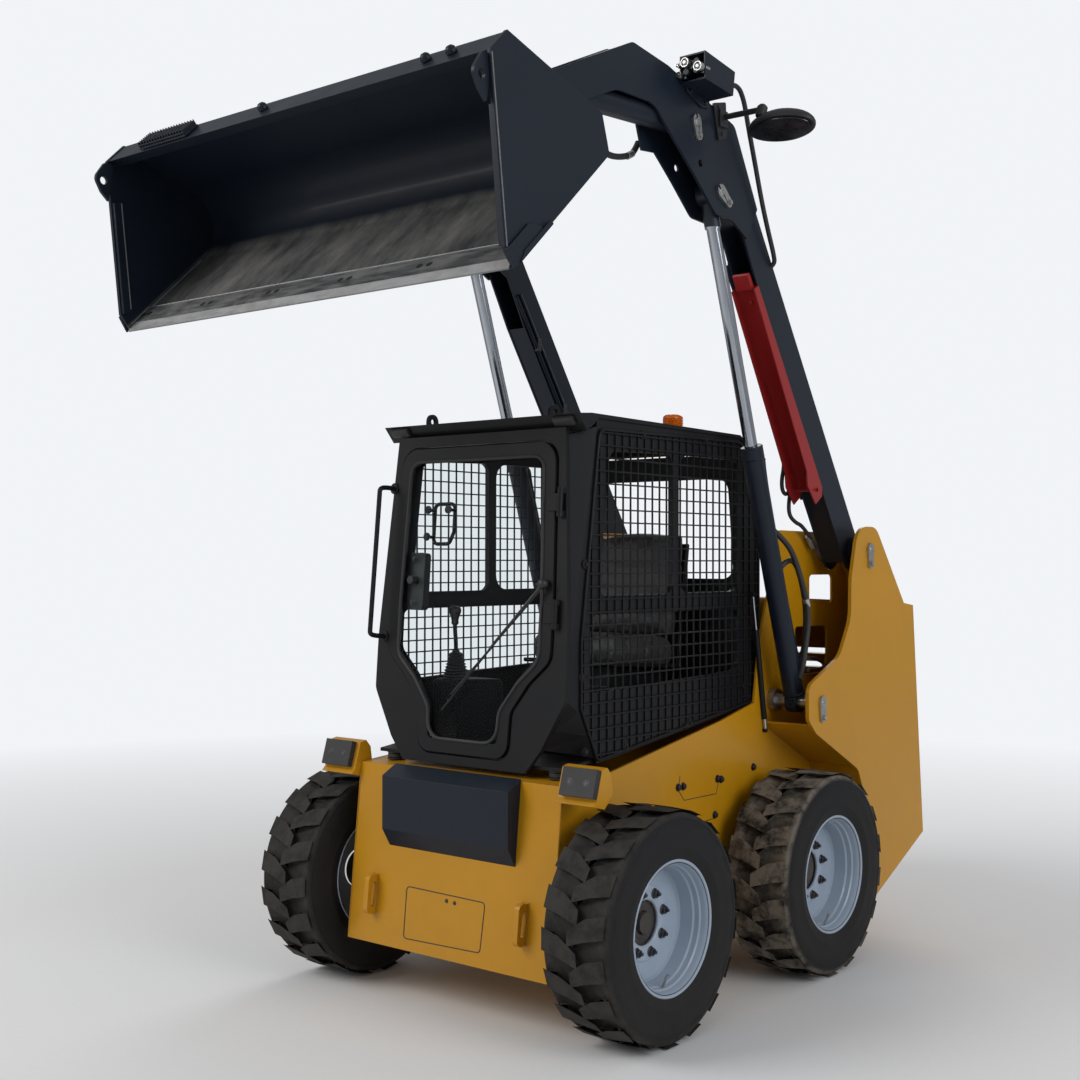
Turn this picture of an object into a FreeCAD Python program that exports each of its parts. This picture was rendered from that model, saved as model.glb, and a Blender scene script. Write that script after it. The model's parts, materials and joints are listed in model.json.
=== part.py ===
import FreeCAD, Part
import Sketcher
import math
import os
from FreeCAD import Rotation, Vector

# Skid steer loader, lift arms raised and bucket dumped, millimetres.
# Y points to the machine's rear and is measured from the front axle, Z from the ground and X to
# the machine's left side. At the end every piece moves forward by origin_y, to the middle of the
# whole machine.

# Each size: word, value, what it is
SIZES = (
    ("origin_y", 495.0, "middle of the machine behind the front axle"),
    ("wheel_radius", 384.5, "tyre radius over the lugs, also the axle height"),
    ("wheelbase", 1073.0, "front axle to rear axle"),
    ("tyre_inner_x", 545.0, "inner side of the tyres"),
    ("tyre_width", 264.0, "widest width of the tyre"),
    ("tread_depth", 22.0, "height of the tread lugs"),
    ("lug_count", 18.0, "lugs on each side of one tyre"),
    ("rim_radius", 209.0, "bead seat radius"),
    ("rim_flange_radius", 222.5, "rim flange radius"),
    ("rim_width", 246.0, "over both rim flanges"),
    ("rim_wall", 7.0, "thickness of the rim's plate"),
    ("disc_x", 684.0, "outer face of the wheel disc"),
    ("disc_bore_radius", 74.0, "centre hole of the wheel disc"),
    ("bolt_circle_radius", 101.6, "wheel bolt circle"),
    ("stud_radius", 8.0, "wheel stud"),
    ("hub_radius", 125.0, "hub flange"),
    ("spindle_radius", 35.0, "spindle inside the hub"),
    ("axle_tube_radius", 60.0, "axle housing"),
    ("run_gap", 0.1, "radial play of a shaft in its bore"),
    ("seat_gap", 0.3, "play between faces that slide past each other"),
    ("side_gap", 5.0, "play beside a swinging eye or boss"),
    ("frame_half", 479.0, "half width of the lower frame"),
    ("frame_plate", 10.0, "thickness of the lower frame's plates"),
    ("belly_z", 195.0, "ground clearance"),
    ("front_bottom_y", -240.0, "front plate at its lower edge"),
    ("front_top_y", -175.0, "front plate at its upper edge"),
    ("front_top_z", 830.0, "upper edge of the front plate"),
    ("deck_mid_y", 92.0, "side plate bend under the cab's front, back"),
    ("deck_mid_z", 850.0, "side plate bend under the cab's front, height"),
    ("deck_rear_y", 1015.0, "end of the sloped upper edge, back"),
    ("deck_rear_z", 1018.0, "end of the sloped upper edge, height"),
    ("tail_y", 2048.0, "rear end of the tower plates"),
    ("tail_z", 399.0, "height where the tail plate starts to rise"),
    ("tail_top_y", 1953.0, "top of the rear edge, back"),
    ("tail_top_z", 1383.0, "top of the rear edge, height"),
    ("belly_rear_y", 1570.0, "rear end of the flat belly"),
    ("tower_half", 700.0, "outer face of the towers"),
    ("tower_plate", 15.0, "thickness of the towers' outer plates"),
    ("tower_top_radius", 95.0, "plate around the boom pivot"),
    ("strip_plate", 8.0, "thickness of the towers' closing strips"),
    ("well_rear_y", 1490.0, "rear wall of the rear wheel arch"),
    ("pivot_y", 1550.0, "boom pivot, back"),
    ("pivot_z", 1618.0, "boom pivot, height"),
    ("lift_base_y", 1150.0, "lower pin of the lift cylinder, back"),
    ("lift_base_z", 1022.0, "lower pin of the lift cylinder, height"),
    ("lift_eye_y", 520.0, "upper pin of the lift cylinder, back"),
    ("lift_eye_z", 2900.0, "upper pin of the lift cylinder, height"),
    ("tilt_base_y", 360.0, "rear pin of the tilt cylinder, back"),
    ("tilt_base_z", 3115.0, "rear pin of the tilt cylinder, height"),
    ("lift_angle", 69.0, "swing of the boom from raised to lowered"),
    ("cylinder_x", 584.0, "plane of the cylinders"),
    ("lift_barrel_radius", 40.0, "lift cylinder barrel"),
    ("lift_rod_radius", 25.0, "lift cylinder rod"),
    ("lift_barrel_length", 1035.0, "lower pin to gland end"),
    ("lift_rod_length", 1046.0, "upper pin to the rod's hidden end"),
    ("lift_rod_collar", 125.0, "upper pin to the end of the rod's painted neck"),
    ("tilt_barrel_radius", 41.0, "tilt cylinder barrel"),
    ("tilt_rod_radius", 20.0, "tilt cylinder rod"),
    ("tilt_barrel_length", 600.0, "rear pin to gland end"),
    ("tilt_rod_length", 560.0, "front pin to the rod's hidden end"),
    ("barrel_wall", 8.0, "wall of the cylinder barrels"),
    ("gland_length", 45.0, "gland at the barrel's mouth"),
    ("eye_radius", 44.0, "eyes of the cylinders"),
    ("eye_width", 48.0, "width of the cylinders' eyes"),
    ("pin_radius", 20.0, "pins of boom and cylinders"),
    ("pin_cap", 10.0, "thickness of the pin retainers"),
    ("arm_inner_x", 530.0, "inner face of the boom arms"),
    ("arm_outer_x", 630.0, "outer face of the boom arms"),
    ("arm_wall", 8.0, "plates of the boom arms"),
    ("weld_step", 3.0, "plates standing proud of the strips welded between them"),
    ("goose_plate", 10.0, "outer plate of the boom's bent front"),
    ("arm_lean", 33.3, "lean of the raised arms from upright"),
    ("arm_back", 46.0, "back edge of the arm from its pivot"),
    ("arm_front", 95.0, "front edge of the arm from its pivot"),
    ("arm_tail", 62.0, "arm beyond its pivot"),
    ("nose_radius", 50.0, "boom end around the bucket pivot"),
    ("cross_tube_y", -330.0, "cross tube between the arms, back"),
    ("cross_tube_z", 3062.0, "cross tube between the arms, height"),
    ("cross_tube_radius", 55.0, "cross tube between the arms"),
    ("bucket_half", 892.0, "half width of the bucket"),
    ("bucket_tip_y", -907.0, "cutting edge, back"),
    ("bucket_tip_z", 2375.0, "cutting edge, height"),
    ("dump_angle", 43.1, "bucket floor below level"),
    ("bucket_plate", 8.0, "bucket shell"),
    ("bucket_side", 12.0, "bucket side plates"),
    ("floor_flat", 433.0, "flat floor from the cutting edge"),
    ("bend_radius", 154.0, "outer bend from floor to back"),
    ("back_lean", 30.2, "lean of the bucket's back from upright"),
    ("bucket_height", 488.0, "height of the bucket"),
    ("edge_plate", 16.0, "thickness of the cutting edge"),
    ("edge_depth", 116.0, "depth of the cutting edge"),
    ("hinge_off", 90.0, "bucket pins behind the bucket's back plane"),
    ("hinge_up", 20.0, "bucket pivot along the back plane"),
    ("tilt_up", 245.0, "tilt cylinder pin along the back plane"),
    ("coupler_plate", 12.0, "coupler plates"),
    ("coupler_half", 626.0, "half width of the coupler"),
    ("coupler_height", 360.0, "height of the coupler plate"),
    ("cab_half", 455.0, "outer face of the cab's sides"),
    ("cab_wall", 18.0, "thickness of the cab's walls"),
    ("cab_lean", 4.3, "lean of the cab's front"),
    ("cab_front_y", -149.0, "foot of the cab's front plane, back"),
    ("cab_front_z", 862.0, "foot of the cab's front plane, height"),
    ("cab_rear_y", 1085.0, "rear face of the cab"),
    ("roof_z", 2069.0, "top of the roof's front edge"),
    ("roof_half", 462.0, "half width of the roof"),
    ("mesh_wire", 5.0, "guard wire"),
    ("mesh_pitch", 44.0, "guard wire spacing"),
    ("door_frame", 46.0, "width of the door's frame"),
    ("door_depth", 26.0, "thickness of the door's frame"),
    ("glass", 6.0, "thickness of the door glass"),
    ("door_gap", 8.0, "gap around the doors"),
    ("bumper_top", 560.0, "top of the rear bumper"),
    ("rear_door_height", 795.0, "height of the engine door"),
    ("door_recess", 12.0, "engine door behind the tail's edges"),
    ("hinge_radius", 11.0, "knuckles of the door hinges"),
    ("hinge_pin", 5.0, "pins of the door hinges"),
    ("knuckle", 60.0, "length of a hinge knuckle"),
    ("rear_hinge_low", 150.0, "lower hinge of the engine door"),
    ("rear_hinge_high", 620.0, "upper hinge of the engine door"),
    ("cab_hinge_x", 399.0, "hinge line of the cab door"),
    ("cab_hinge_y", 14.0, "hinge line in front of the cab's front"),
    ("cab_hinge_low", 500.0, "lower hinge of the cab door"),
    ("cab_hinge_high", 880.0, "upper hinge of the cab door"),
    ("door_proud", 8.0, "cab door in front of the cab's front"),
)


class Size:
    """A number that keeps the formula it comes from, so that it can be bound to the sheet."""

    def __init__(self, number, formula):
        self.number = number
        self.formula = formula

    def _join(self, other, sign, number):
        return Size(number, "(%s %s %s)" % (self.formula, sign, formula_of(other)))

    def __add__(self, other):
        return self._join(other, "+", self.number + number_of(other))

    def __radd__(self, other):
        return as_size(other) + self

    def __sub__(self, other):
        return self._join(other, "-", self.number - number_of(other))

    def __rsub__(self, other):
        return as_size(other) - self

    def __mul__(self, other):
        return self._join(other, "*", self.number * number_of(other))

    def __rmul__(self, other):
        return as_size(other) * self

    def __truediv__(self, other):
        return self._join(other, "/", self.number / number_of(other))

    def __neg__(self):
        return Size(-self.number, "(-1 * %s)" % self.formula)


def number_of(value):
    return value.number if isinstance(value, Size) else float(value)


def formula_of(value):
    return value.formula if isinstance(value, Size) else repr(float(value))


def as_size(value):
    return value if isinstance(value, Size) else Size(float(value), repr(float(value)))


def cosine(angle):
    angle = as_size(angle)
    return Size(math.cos(math.radians(angle.number)), "cos(%s)" % angle.formula)


def sine(angle):
    angle = as_size(angle)
    return Size(math.sin(math.radians(angle.number)), "sin(%s)" % angle.formula)


def bearing(y, z):
    """Turn about X, in degrees, that points a piece's own Z towards (y, z)."""
    angle = math.degrees(math.atan2(-number_of(y), number_of(z)))
    return Size(angle, "atan2(-1 * %s; %s)" % (formula_of(y), formula_of(z)))


# Document and sheet of sizes
doc = FreeCAD.newDocument("SkidSteerLoader")
sheet = doc.addObject("Spreadsheet::Sheet", "Sizes")
size = {}
for row, (word, number, note) in enumerate(SIZES, start=1):
    sheet.set("A%d" % row, note)
    sheet.set("B%d" % row, str(number))
    sheet.setAlias("B%d" % row, word)
    size[word] = Size(number, "Sizes." + word)
doc.recompute()


class Values:
    """The sheet's sizes by name."""

    def __getattr__(self, word):
        return size[word]


s = Values()
nodes = []


def bind(item, path, value):
    """Set a property to a size and tie it to the sheet."""
    if isinstance(value, Size):
        item.setExpression(path, value.formula)
    else:
        item.setExpression(path, repr(float(value)))


def place(item, y=0, z=0, x=0, turn=0):
    """Put a piece in the machine: turned about X, then moved."""
    item.Placement.Rotation = Rotation(Vector(1, 0, 0), number_of(turn))
    if isinstance(turn, Size):
        item.setExpression("Placement.Rotation.Angle", turn.formula)
    bind(item, "Placement.Base.x", x)
    bind(item, "Placement.Base.y", y - s.origin_y)
    bind(item, "Placement.Base.z", z)


def keep(item, label):
    item.Label = label
    nodes.append(item)
    return item


# Sketches and features
PLANES = {"x": "YZ_Plane", "y": "XZ_Plane", "z": "XY_Plane"}


def new_body(name):
    return doc.addObject("PartDesign::Body", name)


def origin_plane(body, axis):
    for feature in body.Origin.OriginFeatures:
        if feature.Role == PLANES[axis]:
            return feature


def new_sketch(body, axis, level=0):
    sketch = body.newObject("Sketcher::SketchObject", "Sketch")
    sketch.AttachmentSupport = [(origin_plane(body, axis), "")]
    sketch.MapMode = "FlatFace"
    offset = -as_size(level) if axis == "y" else as_size(level)
    sketch.AttachmentOffset.Base = Vector(0, 0, offset.number)
    bind(sketch, "AttachmentOffset.Base.z", offset)
    return sketch


def tie(sketch, wanted):
    """Add constraints and bind those that carry a size."""
    first = sketch.ConstraintCount
    sketch.addConstraint([constraint for constraint, value in wanted])
    for index, (constraint, value) in enumerate(wanted, start=first):
        if isinstance(value, Size):
            sketch.setExpression("Constraints[%d]" % index, value.formula)


def fixed_point(geometry, position, u, v):
    return [
        (Sketcher.Constraint("DistanceX", geometry, position, number_of(u)), u),
        (Sketcher.Constraint("DistanceY", geometry, position, number_of(v)), v),
    ]


def rounding(before, corner, after, radius):
    """Start, end and arc of a corner's round, and whether it turns left."""
    back = (before - corner).normalize()
    ahead = (after - corner).normalize()
    half = back.getAngle(ahead) / 2
    reach = radius / math.tan(half)
    centre = corner + (back + ahead).normalize() * (radius / math.sin(half))
    start = corner + back * reach
    end = corner + ahead * reach
    left = back.cross(ahead).z < 0
    first, last = (start, end) if left else (end, start)
    angles = [math.atan2(p.y - centre.y, p.x - centre.x) for p in (first, last)]
    circle = Part.Circle(centre, Vector(0, 0, 1), radius)
    return start, end, Part.ArcOfCircle(circle, angles[0], angles[1]), left


def outline(sketch, corners):
    """Closed outline through corners (u, v) or (u, v, radius)."""
    count = len(corners)
    points = [Vector(number_of(c[0]), number_of(c[1]), 0) for c in corners]
    rounds = {}
    starts = list(points)
    ends = list(points)
    for i, corner in enumerate(corners):
        if len(corner) == 3:
            rounds[i] = rounding(points[i - 1], points[i], points[(i + 1) % count], number_of(corner[2]))
            ends[i], starts[i] = rounds[i][0], rounds[i][1]
    first = sketch.GeometryCount
    sketch.addGeometry([Part.LineSegment(starts[i], ends[(i + 1) % count]) for i in range(count)])
    wanted = []
    for i, corner in enumerate(corners):
        line = first + i
        before = first + (i - 1) % count
        if i not in rounds:
            wanted.append((Sketcher.Constraint("Coincident", before, 2, line, 1), None))
            wanted += fixed_point(line, 1, corner[0], corner[1])
            continue
        left = rounds[i][3]
        arc = sketch.addGeometry(rounds[i][2])
        mark = sketch.addGeometry(Part.Point(points[i]), True)
        wanted.append((Sketcher.Constraint("PointOnObject", mark, 1, before), None))
        wanted.append((Sketcher.Constraint("PointOnObject", mark, 1, line), None))
        wanted += fixed_point(mark, 1, corner[0], corner[1])
        wanted.append((Sketcher.Constraint("Tangent", before, 2, arc, 1 if left else 2), None))
        wanted.append((Sketcher.Constraint("Tangent", arc, 2 if left else 1, line, 1), None))
        wanted.append((Sketcher.Constraint("Radius", arc, number_of(corner[2])), corner[2]))
    tie(sketch, wanted)


def circle(sketch, u, v, radius):
    centre = Vector(number_of(u), number_of(v), 0)
    ring = sketch.addGeometry(Part.Circle(centre, Vector(0, 0, 1), number_of(radius)))
    wanted = fixed_point(ring, 3, u, v)
    wanted.append((Sketcher.Constraint("Radius", ring, number_of(radius)), radius))
    tie(sketch, wanted)


def box_corners(u0, v0, u1, v1, *radius):
    """Corners of an upright rectangle, rounded where a radius is given."""
    return [(u0, v0) + radius, (u1, v0) + radius, (u1, v1) + radius, (u0, v1) + radius]


def slab(body, axis, low, thick, outlines, circles=(), cut=False):
    """Plate across one axis, from low on, with its outlines and round holes."""
    low = as_size(low)
    level = low + thick if axis == "y" else low
    sketch = new_sketch(body, axis, level)
    for corners in outlines:
        outline(sketch, corners)
    for u, v, radius in circles:
        circle(sketch, u, v, radius)
    kind = "PartDesign::Pocket" if cut else "PartDesign::Pad"
    feature = body.newObject(kind, "Cut" if cut else "Plate")
    feature.Profile = sketch
    feature.Reversed = cut
    feature.Length = number_of(thick)
    bind(feature, "Length", thick)
    return feature


def carve(body, axis, low, thick, outlines, circles=()):
    return slab(body, axis, low, thick, outlines, circles, cut=True)


def turned(body, axis_edge, corners, plane="z"):
    """Revolution of an outline about the sketch's H or V axis."""
    sketch = new_sketch(body, plane)
    outline(sketch, corners)
    feature = body.newObject("PartDesign::Revolution", "Turned")
    feature.Profile = sketch
    feature.ReferenceAxis = (sketch, [axis_edge])
    feature.Angle = 360
    return feature


def mirror_of(source, label):
    """The same piece on the machine's other side."""
    item = doc.addObject("Part::Mirroring", label)
    item.Source = source
    item.Normal = Vector(1, 0, 0)
    return item


def group(items, label):
    """Like pieces that share one node."""
    item = doc.addObject("Part::Compound", label)
    item.Links = items
    return keep(item, label)


def pair(source, label):
    """A left-hand piece and its mirror image as one node."""
    return group([source, mirror_of(source, label + "_mirror")], label)


def offset_line(line, distance):
    """Open line of corners moved sideways to its left, with its rounds kept concentric."""
    points = [Vector(number_of(c[0]), number_of(c[1]), 0) for c in line]
    ways = [(b - a).normalize() for a, b in zip(points, points[1:])]
    moved = []
    for i, corner in enumerate(line):
        before = ways[max(i - 1, 0)]
        after = ways[min(i, len(ways) - 1)]
        turn = before.cross(after).z
        middle = (Vector(-before.y, before.x, 0) + Vector(-after.y, after.x, 0)).normalize()
        reach = distance / math.cos(before.getAngle(after) / 2)
        place_u = corner[0] + round(middle.x * reach, 4)
        place_v = corner[1] + round(middle.y * reach, 4)
        if len(corner) == 3:
            moved.append((place_u, place_v, corner[2] - math.copysign(distance, turn)))
        else:
            moved.append((place_u, place_v))
    return moved


def ribbon(line, thick, start=0):
    """Closed outline of a bent plate that lies to the left of a line, from start on."""
    thick, start = number_of(thick), number_of(start)
    return offset_line(line, start) + list(reversed(offset_line(line, start + thick)))


# Lines that several pieces share
def front_line(z):
    """Face of the front plate at a height."""
    slope = (s.front_top_y - s.front_bottom_y) / (s.front_top_z - s.belly_z)
    return s.front_bottom_y + (z - s.belly_z) * slope


def arm_point(along, across):
    """Point on the arm: along it from the boom pivot, and across towards its back edge."""
    y = s.pivot_y - along * sine(s.arm_lean) + across * cosine(s.arm_lean)
    z = s.pivot_z + along * cosine(s.arm_lean) + across * sine(s.arm_lean)
    return y, z


def raised(y, z):
    """Place on the raised boom of a point given where it lies with the boom lowered."""
    dy = y - s.pivot_y
    dz = z - s.pivot_z
    back = s.pivot_y + dy * cosine(s.lift_angle) + dz * sine(s.lift_angle)
    up = s.pivot_z - dy * sine(s.lift_angle) + dz * cosine(s.lift_angle)
    return back, up


# Place of a bucket point: forward along the floor from the cutting edge, and up from the floor
def bucket_point(along, up):
    y = s.bucket_tip_y + along * cosine(s.dump_angle) - up * sine(s.dump_angle)
    z = s.bucket_tip_z + along * sine(s.dump_angle) + up * cosine(s.dump_angle)
    return y, z


# Foot of the bucket's back plane, along the floor and up from it
back_foot_up = as_size(106.0)
back_foot_along = (
    s.floor_flat + (s.bend_radius + (s.bend_radius - back_foot_up) * sine(s.back_lean))
    / cosine(s.back_lean)
)
back_foot = bucket_point(back_foot_along, back_foot_up)


def coupler_point(off, up):
    """Place of a point given from the bucket's back plane: out from it, and up along it."""
    angle = s.dump_angle + s.back_lean
    y = back_foot[0] + off * cosine(angle) - up * sine(angle)
    z = back_foot[1] + off * sine(angle) + up * cosine(angle)
    return y, z


hinge = coupler_point(s.hinge_off, s.hinge_up)
tilt_eye = coupler_point(s.hinge_off, s.tilt_up)


# Wheels
def tyre_profile():
    """Half section of the tyre, with its tread at the tips of the lugs."""
    half = s.tyre_width / 2
    seat = s.rim_radius + s.seat_gap
    lip = s.rim_flange_radius + s.seat_gap
    bead = s.rim_width / 2 - s.rim_wall - s.seat_gap
    top = s.wheel_radius
    right = [
        (bead, seat), (bead, lip + 4), (half - 3, lip + 30, 12), (half, 305, 60), (half - 8, top - 26, 20),
        (half - 34, top),
    ]
    left = [(-corner[0],) + tuple(corner[1:]) for corner in reversed(right)]
    return right + left


def rim_profile():
    """Half section of the rim: two flanges, bead seats and the well between them."""
    out = s.rim_width / 2
    low = -out
    wall = s.rim_wall
    seat = s.rim_radius
    lip = s.rim_flange_radius
    return [
        (low, seat - wall), (low + 38, seat - wall), (low + 55, seat - 28), (out - 85, seat - 28),
        (out - 68, seat - wall), (out, seat - wall), (out, lip), (out - wall, lip),
        (out - wall, seat), (out - 71, seat), (out - 88, seat - 21), (low + 58, seat - 21),
        (low + 41, seat), (low + wall, seat), (low + wall, lip), (low, lip),
    ]


def hub_profile():
    """Half section of the hub with the wheel disc that is bolted to it."""
    face = s.disc_x - s.tyre_inner_x - s.tyre_width / 2
    bore = s.spindle_radius + s.run_gap
    return [
        (face - 60, bore), (face + 20, bore), (face + 20, 58), (face, 66), (face, s.rim_radius - 25),
        (face - 9, s.rim_radius - 25), (face - 9, s.hub_radius), (face - 30, s.hub_radius),
        (face - 30, 80), (face - 60, 80),
    ]


def build_wheels():
    centre_x = s.tyre_inner_x + s.tyre_width / 2
    for side, sign in (("left", 1), ("right", -1)):
        for end, axle in (("front", as_size(0)), ("rear", s.wheelbase)):
            name = "%s_%s" % (end, side)
            tyre = new_body("tyre_" + name)
            turned(tyre, "H_Axis", tyre_profile())
            rim = new_body("rim_" + name)
            turned(rim, "H_Axis", rim_profile())
            turned(rim, "H_Axis", hub_profile())
            for body in (tyre, rim):
                place(body, axle, s.wheel_radius, centre_x)
                if sign > 0:
                    keep(body, body.Name)
                else:
                    body.Label = body.Name + "_source"
                    keep(mirror_of(body, body.Name + "_piece"), body.Name)


def build_axles():
    """Axle housings bolted to the frame, each with the spindle that carries a hub."""
    items = []
    reach = s.disc_x - 60 - s.side_gap - s.frame_half
    for name, axle in (("front", as_size(0)), ("rear", s.wheelbase)):
        body = new_body("axle_housing_" + name)
        slab(body, "x", s.frame_half, 14, [], [(0, 0, s.axle_tube_radius + 30)])
        slab(body, "x", s.frame_half, reach, [], [(0, 0, s.axle_tube_radius)])
        slab(body, "x", s.frame_half + reach - 1, 70, [], [(0, 0, s.spindle_radius)])
        place(body, axle, s.wheel_radius)
        items += [body, mirror_of(body, "axle_mirror_" + name)]
    group(items, "axle_housings")


# Lower frame
def side_plate_outline():
    return [
        (s.front_bottom_y + s.frame_plate, s.belly_z), (s.belly_rear_y, s.belly_z),
        (s.tail_y - 10, s.tail_z + 3), (s.tail_top_y - 10, s.tail_top_z), (1868, 1392),
        (1620, 1692, 40), (1202, 1696, 20), (1171, 1576, 60), (1056, 1262, 60),
        (s.deck_rear_y, s.deck_rear_z), (784, 968), (s.deck_mid_y, s.deck_mid_z),
        (s.front_top_y + s.frame_plate, s.front_top_z),
    ]


def side_plate_windows():
    return [
        box_corners(1450, 1397, 1644, 1515, 20),
        [(1350, 1107, 20), (1560, 1107, 20), (1600, 1165, 20), (1600, 1300, 20), (1330, 1305, 20)],
    ]


def build_main_frame():
    body = new_body("main_frame")
    half = s.frame_half
    plate = s.frame_plate
    inner = half - plate
    belly = [
        (s.front_bottom_y + plate, s.belly_z), (s.belly_rear_y, s.belly_z),
        (s.tail_y - 10, s.tail_z + 3), (s.tail_y - 14, s.tail_z + 15),
        (s.belly_rear_y - 3, s.belly_z + plate), (s.front_bottom_y + plate + 1, s.belly_z + plate),
    ]
    deck = [
        (s.front_top_y + plate, s.front_top_z), (-40, s.front_top_z + 9),
        (-40, s.front_top_z - 1), (s.front_top_y + plate, s.front_top_z - plate),
    ]
    slab(body, "x", -half, plate, [side_plate_outline()])
    slab(body, "x", -half, half * 2, [belly, deck])
    slab(body, "x", inner, plate, [side_plate_outline()])
    carve(body, "x", -half - 1, half * 2 + 2, side_plate_windows())
    slab(body, "y", 1120, plate, [box_corners(-half + 1, s.belly_z + 5, half - 1, s.deck_rear_z)])
    place(body)
    return keep(body, "main_frame")


def build_front_panel():
    """Leaning front plate with the two tie-down loops."""
    body = new_body("front_panel")
    plate = s.frame_plate
    face = [
        (s.front_bottom_y, s.belly_z), (s.front_top_y, s.front_top_z),
        (s.front_top_y + plate - s.seat_gap, s.front_top_z),
        (s.front_bottom_y + plate - s.seat_gap, s.belly_z),
    ]
    slab(body, "x", -s.frame_half, s.frame_half * 2, [face])
    low = 298
    high = 443
    loop = [
        (front_line(low) + 2, low + 6), (front_line(low) - 46, low, 22),
        (front_line(high) - 46, high, 22), (front_line(high) + 2, high - 6),
    ]
    eye = [
        (front_line(low) - 8, low + 30, 8), (front_line(low) - 28, low + 30, 10),
        (front_line(high) - 28, high - 30, 10), (front_line(high) - 8, high - 30, 8),
    ]
    for x in (-365, 343):
        slab(body, "x", x, 22, [loop, eye])
    place(body)
    keep(body, "front_panel")


def build_front_cover():
    body = new_body("front_cover")
    half = 298
    off = s.seat_gap
    shell = [
        (front_line(s.front_top_z) - off, s.front_top_z + 8), (-243, 802), (-243, 612),
        (front_line(548) - off, 548),
    ]
    hollow = [
        (front_line(s.front_top_z) + 20, s.front_top_z + 1), (-237, 797), (-237, 616),
        (front_line(555) + 20, 555),
    ]
    slab(body, "x", -half, half * 2, [shell])
    carve(body, "x", -half + 6, half * 2 - 12, [hollow])
    place(body)
    keep(body, "front_cover")


def build_boom_stops():
    """Rubber pads on folded brackets, where the lowered boom rests."""
    bracket = new_body("stop_bracket")
    back = [
        (-178, 899), (-150, 905), (-128, 880), (-118, 815), (-165, 772), (-222, 786), (-206, 803),
    ]
    slab(bracket, "x", s.frame_half, 163, [back])
    place(bracket)
    pair(bracket, "stop_brackets")
    pad = new_body("stop_pad")
    slab(pad, "x", 500, 140, [ribbon([(-204.5, 808), (-178.3, 898)], 22, s.seat_gap)])
    place(pad)
    pair(pad, "stop_pads")


# Towers, which carry the boom and the lift cylinders
def tower_outline():
    """Outer plate, from the boom pivot down round the rear wheel."""
    top = s.tower_top_radius
    return [
        (s.pivot_y - top, s.pivot_z + top, top - 2), (s.pivot_y + 60, s.pivot_z + top, 85),
        (1866, 1394), (s.tail_top_y, s.tail_top_z), (s.tail_y, s.tail_z), (1590, 190),
        (s.well_rear_y, 190), (s.well_rear_y, 655, 60), (1450, 733, 60), (1110, 905, 60),
        (s.lift_base_y - 98, s.lift_base_z - 62, 40), (s.lift_base_y - 98, s.lift_base_z + 70, 50),
        (1300, 1195, 120), (1392, 1340, 150), (1396, 1500, 120),
    ]


def arch_strip():
    """Roof and rear wall of the rear wheel arch, inside the outer plate's edge."""
    t = s.strip_plate
    return [
        (1085, 935), (1112, 913), (1446, 742), (s.well_rear_y - 3, 664), (s.well_rear_y + 2, 196),
        (s.well_rear_y + t + 2, 196), (s.well_rear_y + t, 668), (1452, 749), (1115, 921), (1090, 942),
    ]


def rear_strip():
    """Closing strip along the back of the tower."""
    t = s.strip_plate
    return [
        (1668, 1630), (1864, 1386), (s.tail_top_y - t, s.tail_top_z - 8), (s.tail_y - t, s.tail_z + 4),
        (1592, 200), (s.well_rear_y + 9, 200), (s.well_rear_y + 9, 192), (1594, 192),
        (s.tail_y, s.tail_z), (s.tail_top_y, s.tail_top_z), (1868, 1393), (1674, 1634),
    ]


def build_towers():
    body = new_body("tower")
    half = s.tower_half
    span = half - s.frame_half
    holes = [(s.pivot_y, s.pivot_z, s.pin_radius + 5 + s.run_gap)]
    holes.append((s.lift_base_y, s.lift_base_z, s.pin_radius + 5 + s.run_gap))
    slab(body, "x", half - s.tower_plate, s.tower_plate, [tower_outline()], holes)
    slab(body, "x", s.frame_half + s.seat_gap, span - s.seat_gap - 1, [arch_strip(), rear_strip()])
    place(body)
    pair(body, "towers")


def retainer(body, x, y, z, reach=75, thick=None):
    """Drop-shaped plate that keeps a pin in its bore."""
    thick = s.pin_cap if thick is None else thick
    big = s.pin_radius + 8
    drop = [
        (y - big, z + big, big - 1), (y + big, z + big, big - 1), (y + 16, z - reach, 14),
        (y - 16, z - reach, 14),
    ]
    slab(body, "x", x, thick, [drop])


def build_chassis_pins():
    """Boom pivot pins and lower pins of the lift cylinders, with their bosses."""
    items = []
    for name, y, z in (
        ("pivot", s.pivot_y, s.pivot_z), ("lift", s.lift_base_y, s.lift_base_z),
    ):
        body = new_body(name + "_pin")
        slab(body, "x", s.frame_half, s.tower_half - s.frame_half + 1, [], [(y, z, s.pin_radius + 5)])
        slab(body, "x", s.frame_half, 30, [], [(y, z, 44)])
        retainer(body, s.tower_half + s.seat_gap, y, z)
        place(body)
        items += [body, mirror_of(body, name + "_pin_mirror")]
    group(items, "chassis_pins")


def build_hood():
    """Engine hood between the towers."""
    body = new_body("hood")
    half = s.frame_half - s.frame_plate - s.seat_gap
    t = 4
    sheet_line = [
        (1136, 1025), (1136, 1430, 30), (1850, 1400, 60), (1936, 1372), (1936, 1368), (1848, 1396, 56),
        (1140, 1426, 26), (1140, 1025),
    ]
    slab(body, "x", -half, half * 2, [sheet_line])
    slab(body, "x", -half, t, [[(1138, 1390), (1138, 1425), (1840, 1396), (1840, 1360)]])
    slab(body, "x", half - t, t, [[(1138, 1390), (1138, 1425), (1840, 1396), (1840, 1360)]])
    place(body)
    keep(body, "hood")


def build_engine():
    body = new_body("engine_block")
    base = s.belly_z + s.frame_plate + s.seat_gap
    slab(body, "x", -210, 420, [[(1230, base), (1560, base), (1790, 325), (1790, base + 620), (1230, base + 620)]])
    place(body)
    keep(body, "engine_block")


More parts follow.
